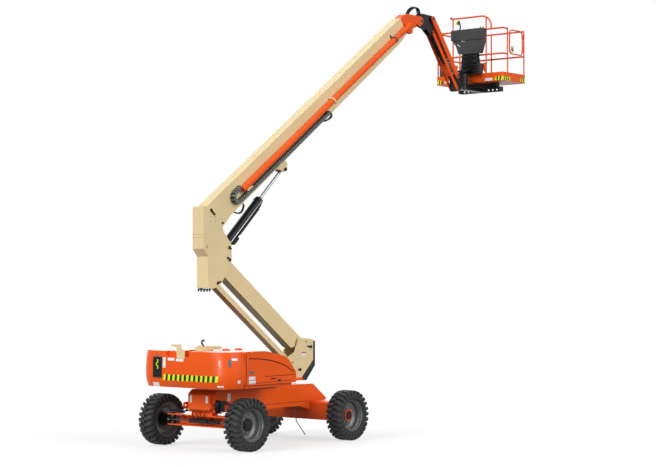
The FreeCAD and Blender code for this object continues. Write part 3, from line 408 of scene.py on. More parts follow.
tape("tail_tape", tail_skin, tail_ray, -0.43, 0.89, 1.255, 1.365, 23, "turntable", at(-1, 0, 1.3))
for name, s, z, wide, high, paint in (
    ("tail_plate_upright", -0.408, 1.575, 0.070, 0.190, plate_white),
    ("tail_plate_left", -0.235, 1.642, 0.170, 0.052, plate_white),
    ("tail_plate_left_red", -0.235, 1.675, 0.170, 0.012, plate_red),
    ("tail_plate_right", -0.02, 1.630, 0.190, 0.045, plate_white),
    ("tail_plate_right_red", -0.02, 1.662, 0.190, 0.016, plate_red),
    ("tail_plate_low", -0.637, 1.170, 0.160, 0.080, plate_white),
    ("tail_plate_slim", -0.16, 1.190, 0.280, 0.014, plate_grey),
    ("tail_plate_top", -0.595, 1.708, 0.100, 0.026, plate_grey),
    ("corner_plate_high", 1.20, 1.662, 0.120, 0.040, plate_white),
    ("corner_plate_dark", 1.105, 1.598, 0.060, 0.130, plate_grey),
    ("corner_plate_small", 1.29, 1.262, 0.060, 0.055, plate_white),
    ("corner_reflector", 0.93, 1.180, 0.130, 0.030, plate_white),
):
    wall_plate(name, tail_skin, tail_ray, s, z, wide, high, "turntable", at(-1, 0, z), paint)


# ---- Cooling grille in the tail -----------------------------------------------------------
# Black moulded louvres in a pressed frame, screwed to the left of the casting's rear wall. The
# blades tilt to shed rain, and a hazard stripe is printed down the middle of them.
black_moulding = enamel("black_moulding", (0.013, 0.013, 0.015), 120.0, 0.5, 0.10, 0.05)


def grown(tree_used, label, **values):
    """Runs a geometry tree with the given inputs and returns its result as a plain mesh."""
    stand = in_scene(label, bpy.data.meshes.new(label))
    growth = stand.modifiers.new(label, "NODES")
    growth.node_group = tree_used
    inputs = [item for item in tree_used.interface.items_tree if item.in_out == "INPUT"]
    names = {item.name: item.identifier for item in inputs}
    for key, value in values.items():
        growth[names[key.replace("_", " ")]] = value
    bpy.context.view_layer.update()
    ready = stand.evaluated_get(bpy.context.evaluated_depsgraph_get())
    mesh = bpy.data.meshes.new_from_object(ready)
    stand.modifiers.remove(growth)
    bpy.data.objects.remove(stand)
    return mesh


def finished(add, join, enter, leave, shape):
    """Ends a geometry tree: makes its copies real and gives them their finish."""
    real = add("GeometryNodeRealizeInstances")
    join(shape, real.inputs[0])
    paint = add("GeometryNodeSetMaterial")
    join(real.outputs[0], paint.inputs["Geometry"])
    join(enter.outputs["Finish"], paint.inputs["Material"])
    join(paint.outputs[0], leave.inputs[0])


def row_tree():
    """Copies of a shape at even steps along a route, turned to follow it where that is asked."""
    made, add, join, enter, leave = new_group("copies_along", "GeometryNodeTree", (
        ("Shape", "Object"), ("Route", "Object"), ("Count", "Int"), ("Follow", "Bool"),
        ("Finish", "Material"),
    ), (("Geometry", "Geometry"),))
    route = add("GeometryNodeObjectInfo")
    join(enter.outputs["Route"], route.inputs["Object"])
    even = add("GeometryNodeResampleCurve")
    join(route.outputs["Geometry"], even.inputs["Curve"])
    join(enter.outputs["Count"], even.inputs["Count"])
    tangent = add("GeometryNodeInputTangent")
    facing = add("FunctionNodeAlignRotationToVector", axis="X", pivot_axis="Y")
    join(tangent.outputs[0], facing.inputs["Vector"])
    choice = add("GeometryNodeSwitch", input_type="ROTATION")
    join(enter.outputs["Follow"], choice.inputs["Switch"])
    join(facing.outputs[0], choice.inputs["True"])
    shape = add("GeometryNodeObjectInfo")
    join(enter.outputs["Shape"], shape.inputs["Object"])
    copies = add("GeometryNodeInstanceOnPoints")
    join(even.outputs[0], copies.inputs["Points"])
    join(shape.outputs["Geometry"], copies.inputs["Instance"])
    join(choice.outputs[0], copies.inputs["Rotation"])
    finished(add, join, enter, leave, copies.outputs[0])
    return made


in_a_row = row_tree()


def route_of(label, points, smooth):
    """A line through the shop's marks, straight between them or eased like a bent hose."""
    line = bpy.data.curves.new(label + "_route", "CURVE")
    line.dimensions = "3D"
    line.resolution_u = 8
    run = line.splines.new("NURBS" if smooth else "POLY")
    run.points.add(len(points) - 1)
    for knot, point in zip(run.points, points):
        knot.co = (*point, 1)
    if smooth:
        run.order_u = 3
        run.use_endpoint_u = True
    return in_scene(label + "_route", line)


def copies_along(label, shape, points, count, paint, follow=False, smooth=False):
    """A mesh of equal copies of one shape along a route."""
    source = in_scene(label + "_one", shape)
    route = route_of(label, points, smooth)
    mesh = grown(in_a_row, label, Shape=source, Route=route, Count=count, Follow=follow, Finish=paint)
    bpy.data.objects.remove(source)
    bpy.data.objects.remove(route)
    return mesh


def add_block(shape, low, high, bevel=0.004, turn=None):
    """A box with eased edges added to a mesh under construction, turned about its own middle."""
    made = bmesh.ops.create_cube(shape, size=1.0)["verts"]
    low, high = Vector(low), Vector(high)
    span, middle = high - low, (low + high) / 2
    for vertex in made:
        vertex.co = Vector((vertex.co.x * span.x, vertex.co.y * span.y, vertex.co.z * span.z))
    if bevel:
        edges = list(dict.fromkeys(edge for vertex in made for edge in vertex.link_edges))
        eased = bmesh.ops.bevel(shape, geom=edges, offset=bevel, segments=2, affect="EDGES", profile=0.5)
        kept = [v for v in made if v.is_valid]
        made = list(dict.fromkeys([v for face in eased["faces"] for v in face.verts] + kept))
    for vertex in made:
        vertex.co = (turn @ vertex.co if turn else vertex.co) + middle
    return made


def solid(shape, name):
    """Closes a mesh under construction and turns its faces outwards."""
    bmesh.ops.recalc_face_normals(shape, faces=shape.faces)
    mesh = bpy.data.meshes.new(name)
    shape.to_mesh(mesh)
    shape.free()
    return mesh


def moulded(name, body, paint, *blocks):
    """One piece made of eased blocks, each given as add_block takes it."""
    shape = bmesh.new()
    for block in blocks:
        add_block(shape, *block)
    return put(name, solid(shape, name), body, paint)


forwards, leftwards = Vector((1, 0, 0)), Vector((0, 1, 0))


def tail_wall(y, z):
    """The point of the tail's rear wall behind a given place."""
    return tail_skin.ray_cast(at(-2.4, y, z), forwards)[0]


grille_y, grille_low, blade_step = 0.577, 1.325, 0.04
blade = bmesh.new()
blade_tilt = Matrix.Rotation(-0.75, 3, "Y")
add_block(blade, (-0.013, -0.103, -0.0025), (0.013, 0.103, 0.0025), 0.0015, blade_tilt)
wall_line = [tail_wall(grille_y, grille_low + step * blade_step) for step in range(9)]
blades = copies_along("blades", solid(blade, "blade"), wall_line, 13, black_moulding)
put("grille_blades", blades, "turntable")
surround = bmesh.new()
for y in (0.472, 0.682):
    for low_z, high_z in ((1.303, 1.425), (1.425, 1.55), (1.55, 1.672)):
        middle = tail_wall(y, (low_z + high_z) / 2)
        lean = math.atan2(tail_wall(y, high_z).x - tail_wall(y, low_z).x, high_z - low_z)
        half = Vector((0.009, 0.010, (high_z - low_z) / 2 + 0.002))
        add_block(surround, middle - half, middle + half, 0.002, Matrix.Rotation(lean, 3, "Y"))
for z in (1.305, 1.670):
    middle = tail_wall(grille_y, z)
    half = Vector((0.009, 0.112, 0.009))
    add_block(surround, middle - half, middle + half, 0.002)
put("grille_surround", solid(surround, "grille_surround"), "turntable", black_moulding)
rows = [[(at(-2.5, 0.476 + c * 0.034, 1.306 + r * 0.06), forwards) for c in range(7)] for r in range(7)]
seam_black = vinyl("seam_black", (0.007, 0.004, 0.003), 0.9)
put("grille_backing", face_out(film_on(tail_skin, rows), at(-1, grille_y, 1.5)), "turntable", seam_black)
stripe_run = 0.05
out = Vector((-0.0125, 0, 0))
half_stripe = Vector((0.001, 0.014, 0))
for k, (y, z) in enumerate(((0.560, 1.60), (0.590, 1.545), (0.560, 1.49))):
    start, stop = tail_wall(y + stripe_run / 2, z - 0.03), tail_wall(y - stripe_run / 2, z + 0.03)
    block = (start + out - half_stripe, stop + out + half_stripe, 0.0008)
    moulded(f"grille_stripe_{k}", "turntable", tape_bright, block)


# ---- Hoods --------------------------------------------------------------------------------
# Two moulded covers, one each side, hinged along the top. Each has a pressed arch that follows
# its crown, a shut line with a raised bead beside it, a latch and a cooling slot.
finish_nodes(orange, "hood_left", "hood_right")


def seam(name, skin, route, wide, way, body, paint, steps=14):
    """A narrow groove drawn on a skin along a route of points, seen along way."""
    rows = [[], []]
    legs = [(b - a).length for a, b in zip(route, route[1:])]
    total = sum(legs)
    for k in range(steps + 1):
        gone = total * k / steps
        leg = 0
        while leg < len(legs) - 1 and gone > legs[leg]:
            gone -= legs[leg]
            leg += 1
        along = (route[leg + 1] - route[leg]).normalized()
        point = route[leg] + along * min(gone, legs[leg])
        across = along.cross(way).normalized() * wide / 2
        rows[0].append((point - across - way * 0.5, way))
        rows[1].append((point + across - way * 0.5, way))
    return put(name, face_out(film_on(skin, rows), route[0] + way * 2), body, paint)


hose_rubber = enamel("hose_rubber", (0.007, 0.007, 0.008), 240.0, 0.15, 0.10, 0.0, gloss=0.15)


def hose_tree():
    """A round hose along a route, closed at both ends."""
    made, add, join, enter, leave = new_group("hose_run", "GeometryNodeTree", (
        ("Route", "Object"), ("Radius", "Float"), ("Finish", "Material"),
    ), (("Geometry", "Geometry"),))
    route = add("GeometryNodeObjectInfo")
    join(enter.outputs["Route"], route.inputs["Object"])
    section = add("GeometryNodeCurvePrimitiveCircle", {"Resolution": 12})
    join(enter.outputs["Radius"], section.inputs["Radius"])
    wall = add("GeometryNodeCurveToMesh", {"Fill Caps": True})
    join(route.outputs["Geometry"], wall.inputs["Curve"])
    join(section.outputs["Curve"], wall.inputs["Profile Curve"])
    smooth = add("GeometryNodeSetShadeSmooth")
    join(wall.outputs[0], smooth.inputs["Geometry"])
    finished(add, join, enter, leave, smooth.outputs[0])
    return made


hose_run = hose_tree()


def hose(name, points, radius, body, paint=hose_rubber, smooth=True):
    """A hose or a bent pipe through the given points, made fast at both ends."""
    route = route_of(name, points, smooth)
    mesh = grown(hose_run, name, Route=route, Radius=radius, Finish=paint)
    bpy.data.objects.remove(route)
    shell = bmesh.new()
    shell.from_mesh(mesh)
    bmesh.ops.remove_doubles(shell, verts=shell.verts, dist=1e-6)
    bmesh.ops.recalc_face_normals(shell, faces=shell.faces)
    shell.to_mesh(mesh)
    shell.free()
    return put(name, mesh, body)


bolt = bmesh.new()
bmesh.ops.create_cone(bolt, cap_ends=True, segments=6, radius1=0.010, radius2=0.009, depth=0.009)
bolt_upright = solid(bolt, "bolt")
hood_side = 1.136
crown_line = ((-1.479, 1.668), (-1.2, 1.655), (-0.97, 1.630), (-0.76, 1.592), (-0.599, 1.548),
              (-0.44, 1.490), (-0.33, 1.438), (-0.246, 1.387))
for hand, mark in (("right", -1), ("left", 1)):
    skin = skin_of("hood_" + hand)
    y = mark * hood_side
    way = Vector((0, -mark, 0))
    body = "hood_" + hand
    for label, route, wide, steps in (
        ("arch", crown_line, 0.017, 24), ("sill", ((-1.02, 1.330), (-0.19, 1.335)), 0.009, 14),
        ("foot", ((-1.50, 1.215), (-0.30, 1.235)), 0.007, 14),
        ("shut", ((-1.545, 1.195), (-1.545, 1.74)), 0.012, 14),
    ):
        marks = [at(x, y, z) for x, z in route]
        seam(f"hood_{label}_{hand}", skin, marks, wide, way, body, seam_black, steps)
    bead = [at(x, y + mark * proud, z) for x, proud, z in (
        (-1.515, 0.001, 1.200), (-1.515, 0.001, 1.30), (-1.515, 0.001, 1.60), (-1.505, -0.002, 1.700),
        (-1.47, -0.004, 1.712), (-1.20, -0.004, 1.700))]
    hose("hood_bead_" + hand, bead, 0.011, body, orange)
    slot = [at(-0.88, y, 1.283), at(-0.74, y, 1.285)]
    seam("hood_slot_" + hand, skin, slot, 0.020, way, body, seam_black)
    for k, (x, z, wide, high, paint) in enumerate((
        (-1.40, 1.415, 0.12, 0.055, plate_grey), (-1.39, 1.315, 0.17, 0.060, plate_white),
        (-1.39, 1.352, 0.17, 0.014, plate_red), (-1.38, 1.240, 0.18, 0.060, plate_white),
    )):
        plate = patch(skin, at(x, y, z), way, wide, high, forwards)
        put(f"hood_plate_{hand}_{k}", plate, body, paint)
    moulded("hood_latch_" + hand, body, black_moulding,
            (at(-0.68, y - 0.006, 1.222), at(-0.60, y + 0.006, 1.268), 0.003),
            (at(-0.665, y - 0.011, 1.238), at(-0.615, y + 0.011, 1.252), 0.003))


# ---- Engine and tanks under the hoods -----------------------------------------------------
# Plain castings that only show when a hood is open: the engine in dark grey primer on the left,
# the fuel and oil tanks in the same dark grey on the right. Each carries filler caps.
primer = enamel("dark_primer", (0.055, 0.057, 0.060), 90.0, 1.4, 0.12, 0.0)
finish_nodes(primer, "engine", "tanks")


def turned(shape, profile, sides=72):
    """Adds a closed turned form about Y; the profile is (y, radius) points, radius 0 on the axis."""
    poles = {k: shape.verts.new((0, y, 0)) for k, (y, r) in enumerate(profile) if r == 0}
    rings = []
    for n in range(sides):
        angle = math.tau * n / sides
        rings.append([poles.get(k) or shape.verts.new((r * math.sin(angle), y, r * math.cos(angle)))
                      for k, (y, r) in enumerate(profile)])
    for here, there in zip(rings, rings[1:] + rings[:1]):
        for a in range(len(profile)):
            b = (a + 1) % len(profile)
            corners = list(dict.fromkeys((here[a], here[b], there[b], there[a])))
            if len(corners) > 2:
                shape.faces.new(corners)
    return shape


engine_top, tank_top = 1.600, 1.560
for name, x, y, top in (
    ("tank_cap_fuel", -0.80, -0.70, tank_top), ("tank_cap_oil", -1.20, -0.62, tank_top),
    ("engine_cap", -0.75, 0.62, engine_top),
):
    cap = bmesh.new()
    turned(cap, [(0, 0), (0, 0.050), (0.020, 0.050), (0.026, 0.044), (0.026, 0)], 32)
    mesh = solid(cap, name)
    mesh.transform(Matrix.Translation(at(x, y, top - 0.002)) @ Matrix.Rotation(math.pi / 2, 4, "X"))
    put(name, mesh, "turntable", black_moulding)


# ---- Chassis ------------------------------------------------------------------------------
# A box of welded plate in the same orange, with both axles, its lashing plates and the blank
# plates on its sides. The slewing bearing, knuckles and hose manifold are in black.
finish_nodes(orange, "chassis_frame", "steer_axle", "drive_axle", "tie_down_lugs")
black = enamel("black_enamel", (0.008, 0.008, 0.009), 80.0, 0.15, 0.05, 0.05, gloss=0.18)
finish_nodes(black, "slew_bearing", "travel_manifold", "steering_cylinder", "knuckle_left", "knuckle_right")
chassis_skin = skin_of("chassis_frame")


def side_name(hand):
    """The word for a side: 1 is the machine's left and -1 its right."""
    return "left" if hand > 0 else "right"


beam_side = 0.33
for hand in (-1, 1):
    way, mark = Vector((0, -hand, 0)), side_name(hand)
    crease = [at(-1.0, hand * beam_side, 0.735), at(1.18, hand * beam_side, 0.735)]
    seam("frame_crease_" + mark, chassis_skin, crease, 0.007, way, "chassis", seam_black)
    plate = patch(chassis_skin, at(-1.12, hand * beam_side, 0.93), way, 0.085, 0.14, forwards)
    put("frame_plate_" + mark, plate, "chassis", plate_white)
    plate = patch(chassis_skin, at(-1.575, hand * 0.20, 0.90), forwards, 0.05, 0.13, leftwards)
    put("tail_block_plate_" + mark, plate, "chassis", plate_white)
bearing_bolt = bmesh.new()
bearing_bolt.from_mesh(bolt_upright)
bolt_circle, bearing_top = 0.412, 1.126
for vertex in bearing_bolt.verts:
    vertex.co += Vector((bolt_circle, 0, bearing_top))


def ring_tree():
    """Copies a shape round an axis through the origin, as a moulder's or a fitter's template does."""
    made, add, join, enter, leave = new_group("copies_round", "GeometryNodeTree", (
        ("Shape", "Object"), ("Count", "Int"), ("Axis", "Vector"), ("Start Angle", "Float"),
        ("Finish", "Material"),
    ), (("Geometry", "Geometry"),))
    points = add("GeometryNodePoints")
    join(enter.outputs["Count"], points.inputs["Count"])
    number = add("GeometryNodeInputIndex")
    part = add("ShaderNodeMath", operation="DIVIDE")
    join(number.outputs[0], part.inputs[0])
    join(enter.outputs["Count"], part.inputs[1])
    angle = add("ShaderNodeMath", {1: math.tau}, operation="MULTIPLY_ADD")
    join(part.outputs[0], angle.inputs[0])
    join(enter.outputs["Start Angle"], angle.inputs[2])
    spin = add("FunctionNodeAxisAngleToRotation")
    join(enter.outputs["Axis"], spin.inputs["Axis"])
    join(angle.outputs[0], spin.inputs["Angle"])
    shape = add("GeometryNodeObjectInfo")
    join(enter.outputs["Shape"], shape.inputs["Object"])
    copies = add("GeometryNodeInstanceOnPoints")
    join(points.outputs[0], copies.inputs["Points"])
    join(shape.outputs["Geometry"], copies.inputs["Instance"])
    join(spin.outputs[0], copies.inputs["Rotation"])
    finished(add, join, enter, leave, copies.outputs[0])
    return made


around = ring_tree()


def copies_round(label, shape, count, axis, paint, start_angle=0.0):
    """A mesh of equal copies of one shape round an axis."""
    source = in_scene(label + "_one", shape)
    mesh = grown(around, label, Shape=source, Count=count, Axis=axis, Start_Angle=start_angle, Finish=paint)
    bpy.data.objects.remove(source)
    return mesh


bearing_mesh = copies_round("bearing_bolts", solid(bearing_bolt, "bearing_bolt"), 40, (0, 0, 1), black)
bearing_mesh.transform(Matrix.Translation(at(0, 0, 0)))
put("bearing_bolts", bearing_mesh, "chassis")


# ---- Steering and travel hoses ------------------------------------------------------------
# The steering rod is ground steel in a black cylinder and sleeve. Black rubber hoses with crimped
# ends run from the manifold block to the cylinder, the knuckles and the frame.
chrome = enamel("chromed_rod", (0.36, 0.37, 0.39), 200.0, 0.1, 0.02, 0.2, 1.0, 0.5)
dull_steel = enamel("dull_steel", (0.070, 0.080, 0.090), 160.0, 0.7, 0.05, 0.1, 0.8, 0.4)
finish_nodes(chrome, "lift_rod", "jib_rod")
finish_nodes(dull_steel, "steering_rod", "earthing_rod")
sleeve = bmesh.new()
turned(sleeve, [(-0.500, 0.0175), (-0.500, 0.034), (-0.488, 0.037), (-0.262, 0.037), (-0.250, 0.034),
                (-0.250, 0.0175)], 40)
sleeve_mesh = solid(sleeve, "steering_sleeve")
sleeve_mesh.transform(Matrix.Translation(at(-1.563, 0, 0.50)))
put("steering_sleeve", sleeve_mesh, "chassis", black)
for k, y in enumerate((0.421, 0.179, 0.07, -0.017, -0.115)):
    moulded(f"axle_fitting_{k}", "chassis", black,
            (at(-1.475, y - 0.020, 0.650), at(-1.425, y + 0.020, 0.685), 0.006),
            (at(-1.462, y - 0.012, 0.680), at(-1.438, y + 0.012, 0.705), 0.004))
    run = [at(-1.475, y, 0.667), at(-1.53, y, 0.665), at(-1.585, y - 0.02, 0.63),
           at(-1.575, y - 0.05, 0.56), at(-1.563, y - 0.05, 0.535)]
    hose(f"axle_hose_{k}", run, 0.009, "chassis")
run = [at(-1.50, 0.373, 0.662), at(-1.50, 0.55, 0.667), at(-1.49, 0.70, 0.664), at(-1.48, 0.83, 0.65)]
hose("axle_line", run, 0.010, "chassis")
for k in range(5):
    y = -0.372 - 0.019 * k
    run = [at(-1.485, y, 0.875), at(-1.51, y, 0.90), at(-1.535, y - 0.004, 0.84), at(-1.533, y, 0.74),
           at(-1.50, y + 0.006, 0.665), at(-1.44, y + 0.01, 0.652)]
    hose(f"travel_hose_{k}", run, 0.0085, "chassis")
for k in range(3):
    y = -0.345 - 0.022 * k
    run = [at(-1.38, y - 0.02, 0.83 + 0.02 * k), at(-1.31, y - 0.02, 0.84 + 0.02 * k), at(-1.22, y, 0.81),
           at(-1.10, y, 0.80), at(-1.02, -0.325, 0.80)]
    hose(f"frame_hose_{k}", run, 0.009, "chassis")


# ---- Tyres --------------------------------------------------------------------------------
# Lug-tread pneumatic tyres of black rubber, moulded in one with deep slanted bars that run over
# the shoulder. The carcass is turned, and the bars are copied round it in two staggered rows.
def tyre_rubber(name, dark, light):
    """Moulded rubber: scuffed from dark to light in blotches, with a fine pitted grain."""
    made, skin, add, join = bare_finish(name)
    place = add("ShaderNodeTexCoord")
    scuff = add("ShaderNodeTexNoise", {"Scale": 14, "Detail": 8})
    join(place.outputs["Object"], scuff.inputs["Vector"])
    tint = add("ShaderNodeValToRGB")
    deep, pale = tint.color_ramp.elements
    deep.position, deep.color = 0.35, (dark, dark, dark, 1)
    pale.position, pale.color = 0.72, (light, light * 0.97, light * 0.94, 1)
    join(scuff.outputs["Fac"], tint.inputs["Fac"])
    join(tint.outputs["Color"], skin.inputs["Base Color"])
    pit = add("ShaderNodeTexNoise", {"Scale": 220})
    join(place.outputs["Object"], pit.inputs["Vector"])
    rise = add("ShaderNodeBump", {"Strength": 0.18, "Distance": 0.003})
    join(pit.outputs["Fac"], rise.inputs["Height"])
    join(rise.outputs["Normal"], skin.inputs["Normal"])
    skin.inputs["Roughness"].default_value = 0.72
    skin.inputs["Specular IOR Level"].default_value = 0.3
    return made


rubber = tyre_rubber("tyre_rubber", 0.008, 0.017)
worn_rubber = tyre_rubber("worn_rubber", 0.018, 0.038)
axle_x, wheel_y, wheel_radius = 1.443, 1.063, 0.48
shoulder = [(0.02, 0.438), (0.08, 0.437), (0.125, 0.427), (0.150, 0.408), (0.161, 0.382), (0.1655, 0.356),
            (0.163, 0.338), (0.154, 0.320), (0.140, 0.312), (0.134, 0.302)]
carcass = bmesh.new()
turned(carcass, [(-y, r) for y, r in reversed(shoulder)] + shoulder, 96)
carcass_mesh = solid(carcass, "carcass")

bars, bar_depth, shoulder_y = 27, 0.056, 0.15
pitch = math.tau / bars
stations = ((0.004, 0.4795, 0.033, 0.000), (0.045, 0.4795, 0.034, 0.022), (0.075, 0.4795, 0.035, 0.012),
            (0.115, 0.4790, 0.034, 0.060), (0.148, 0.4720, 0.033, 0.082), (0.167, 0.450, 0.031, 0.096),
            (0.1714, 0.415, 0.028, 0.104), (0.1714, 0.380, 0.020, 0.108))
tread = bmesh.new()
for hand, shift in ((1, 0.0), (-1, pitch / 2)):
    rings = []
    for y, top, half, sweep in stations:
        base = top - bar_depth
        sunk_y = y - (0.012 if y > shoulder_y else 0.0)
        ring = []
        for height, spread, reach in ((base, half * 1.15, sunk_y), (top, half * 0.86, y),
                                      (top, -half * 0.86, y), (base, -half * 1.15, sunk_y)):
            turn = shift + sweep + spread / wheel_radius
            corner = (height * math.sin(turn), hand * reach, height * math.cos(turn))
            ring.append(tread.verts.new(corner))
        rings.append(ring)
    for here, there in zip(rings, rings[1:]):
        for a in range(4):
            b = (a + 1) % 4
            tread.faces.new((here[a], here[b], there[b], there[a]))
    tread.faces.new(rings[0])
    tread.faces.new(list(reversed(rings[-1])))
tread_mesh = copies_round("tread", solid(tread, "tread_bar"), bars, (0, 1, 0), rubber)


def facing_out(x, y, z, hand):
    """Stands a form turned about Y on one side of the machine, with its outer end looking out."""
    half_turn = 0.0 if hand > 0 else math.pi
    return Matrix.Translation(at(x, hand * y, z)) @ Matrix.Rotation(half_turn, 4, "Z")


wheels = {"steer_left": (-axle_x, 1), "steer_right": (-axle_x, -1), "drive_left": (axle_x, 1),
          "drive_right": (axle_x, -1)}
for wheel, (x, hand) in wheels.items():
    joined = bmesh.new()
    joined.from_mesh(carcass_mesh)
    moulded_faces = len(joined.faces)
    joined.from_mesh(tread_mesh)
    whole = bpy.data.meshes.new("tyre_" + wheel)
    joined.to_mesh(whole)
    joined.free()
    whole.transform(facing_out(x, wheel_y, wheel_radius, hand))
    shown = put("lugged_tyre_" + wheel, whole, "wheel_" + wheel, rubber, worn_rubber)
    for poly in whole.polygons:
        poly.material_index = 0 if poly.index < moulded_faces else 1
        poly.use_smooth = poly.index < moulded_faces
    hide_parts("tyre_" + wheel)


# ---- Rims and hubs ------------------------------------------------------------------------
# Rolled steel rims in dark grey: a deep stepped barrel with a pressed disc near its inner side,
# bolted to a black cast hub by a ring of plain nuts. The hub ends in a shallow cap.
rim_grey = enamel("rim_grey", (0.118, 0.120, 0.124), 70.0, 0.1, 0.05, 0.25, gloss=0.55)
hub_black = enamel("hub_black", (0.010, 0.010, 0.011), 80.0, 0.05, 0.05, 0.05, gloss=0.15)
barrel = [(0.130, 0.320), (0.136, 0.310), (0.130, 0.303), (0.119, 0.298), (0.109, 0.288), (0.090, 0.286),
          (0.084, 0.281), (0.070, 0.280), (0.062, 0.269), (0.040, 0.268), (0.032, 0.264), (0.010, 0.265),
          (-0.012, 0.262), (-0.030, 0.246), (-0.044, 0.212), (-0.026, 0.166), (0.002, 0.142),
          (0.002, 0.1135), (-0.012, 0.1135), (-0.040, 0.166), (-0.060, 0.212), (-0.052, 0.250),
          (-0.072, 0.270), (-0.118, 0.287), (-0.128, 0.298), (-0.150, 0.303), (-0.1535, 0.311),
          (-0.150, 0.320), (-0.136, 0.322), (-0.126, 0.306), (-0.060, 0.280), (0.056, 0.280),
          (0.076, 0.294), (0.112, 0.306), (0.118, 0.322)]
rolled = bmesh.new()
turned(rolled, barrel, 96)
rim_mesh = solid(rolled, "rolled_rim")
for poly in rim_mesh.polygons:
    poly.use_smooth = True
rim_mesh.set_sharp_from_angle(angle=math.radians(32))
nut = bmesh.new()
bmesh.ops.create_cone(nut, cap_ends=True, segments=6, radius1=0.014, radius2=0.012, depth=0.018)
nut_circle, nut_out = 0.128, 0.011
for vertex in nut.verts:
    vertex.co = Vector((vertex.co.x + nut_circle, vertex.co.z + nut_out, vertex.co.y))
nut_ring = copies_round("nuts", solid(nut, "wheel_nut"), 9, (0, 1, 0), rim_grey)
cap = bmesh.new()
turned(cap, [(-0.014, 0), (-0.014, 0.123), (0.004, 0.123), (0.010, 0.114), (0.030, 0.092), (0.040, 0.088),
             (0.044, 0.082), (0.044, 0.050), (0.050, 0.045), (0.050, 0)], 40)
cap_mesh = solid(cap, "hub_cap")
for wheel, (x, hand) in wheels.items():
    for label, source, paint in (("rolled_rim_", rim_mesh, rim_grey), ("wheel_nuts_", nut_ring, rim_grey),
                                 ("hub_cap_", cap_mesh, hub_black)):
        mesh = source.copy()
        mesh.transform(facing_out(x, wheel_y, wheel_radius, hand))
        shown = put(label + wheel, mesh, "wheel_" + wheel, paint)
        if source is rim_mesh:
            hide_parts("rim_" + wheel)


# ---- Tower --------------------------------------------------------------------------------
# The mount, boom, link and upright are folded and welded plate in cream enamel. Each pin is held
# by a black keeper plate and bolt, and the mount's front edge carries a rubber bumper.
# The cream takes strong painted shade on faces that look down, so that its undersides read dark.
cream = enamel("cream_enamel", (0.735, 0.590, 0.330), 60.0, 0.9, 0.02, 0.05, gloss=0.15, underside_shade=0.78)
finish_nodes(cream, "tower_mount", "tower_boom", "tower_link", "upright", "base_boom", "tail_bracket",
             "tower_rest")
bumper_rubber = enamel("bumper_rubber", (0.010, 0.010, 0.011), 110.0, 0.4, 0.25, 0.0)
finish_nodes(bumper_rubber, "mount_bumper")
mount_skin = skin_of("tower_mount")
for hand in (-1, 1):
    way = Vector((0, -hand, 0))
    for k, (z, high, paint) in enumerate(((1.625, 0.050, plate_white), (1.664, 0.020, plate_red))):
        plate = patch(mount_skin, at(1.216, hand * 0.16, z), way, 0.13, high, forwards)
        put(f"mount_plate_{side_name(hand)}_{k}", plate, "turntable", paint)


def pin_ends(shape, profile, x, face, z):
    """Adds a turned pin end to both sides of a piece whose sides are face metres from its middle."""
    for hand in (-1, 1):
        start = len(shape.verts)
        turned(shape, profile, 28)
        shape.verts.ensure_lookup_table()
        for vertex in shape.verts[start:]:
            vertex.co = at(x + vertex.co.x, hand * (face + vertex.co.y), z + vertex.co.z)


def pin_keeper(name, x, z, face, slope, reach, body, cap=0.030):
    """A black pin end on both sides, with a bolted keeper plate beside the right-hand one."""
    made = bmesh.new()
    pin_ends(made, [(0.0, 0), (0.0, cap), (0.006, cap), (0.010, cap - 0.004), (0.010, 0)], x, face, z)
    tilt = Matrix.Rotation(-slope, 3, "Y")
    middle = at(x + math.cos(slope) * reach / 2, -face - 0.005, z + math.sin(slope) * reach / 2)
    half = Vector((reach / 2, 0.005, 0.016))
    add_block(made, middle - half, middle + half, 0.003, tilt)
    far = reach - 0.014
    bolt_place = at(x + math.cos(slope) * far, -face - 0.013, z + math.sin(slope) * far)
    bmesh.ops.create_cone(made, cap_ends=True, segments=6, radius1=0.013, radius2=0.013, depth=0.012,
                          matrix=Matrix.Translation(bolt_place) @ Matrix.Rotation(math.pi / 2, 4, "X"))
    return put(name, solid(made, name), body, black)


upright_face, mount_face = 0.152, 0.172
for name, x, z, face, slope, reach, body in (
    ("keeper_boom_pivot", -1.410, 4.360, upright_face, -0.75, 0.130, "upright"),
    ("keeper_lift_foot", -0.920, 3.683, upright_face, -0.60, 0.060, "upright"),
    ("keeper_tower_head", -0.906, 3.452, upright_face, 2.55, 0.085, "upright"),
    ("keeper_link_head", -1.231, 3.020, upright_face, 0.35, 0.080, "upright"),
    ("keeper_tower_foot", 1.423, 1.771, mount_face, 3.02, 0.110, "turntable"),
    ("keeper_link_foot", 1.098, 1.339, mount_face, 3.02, 0.060, "turntable"),
):
    pin_keeper(name, x, z, face, slope, reach, body)


def screw_row(name, points, count, way, body, paint, size=1.0):
    """Hexagon screws at even steps along a line, standing out of a face towards way."""
    shape = bolt_upright.copy()
    shape.transform(way.to_track_quat("Z", "Y").to_matrix().to_4x4() @ Matrix.Scale(size, 4))
    return put(name, copies_along(name, shape, points, count, paint), body)


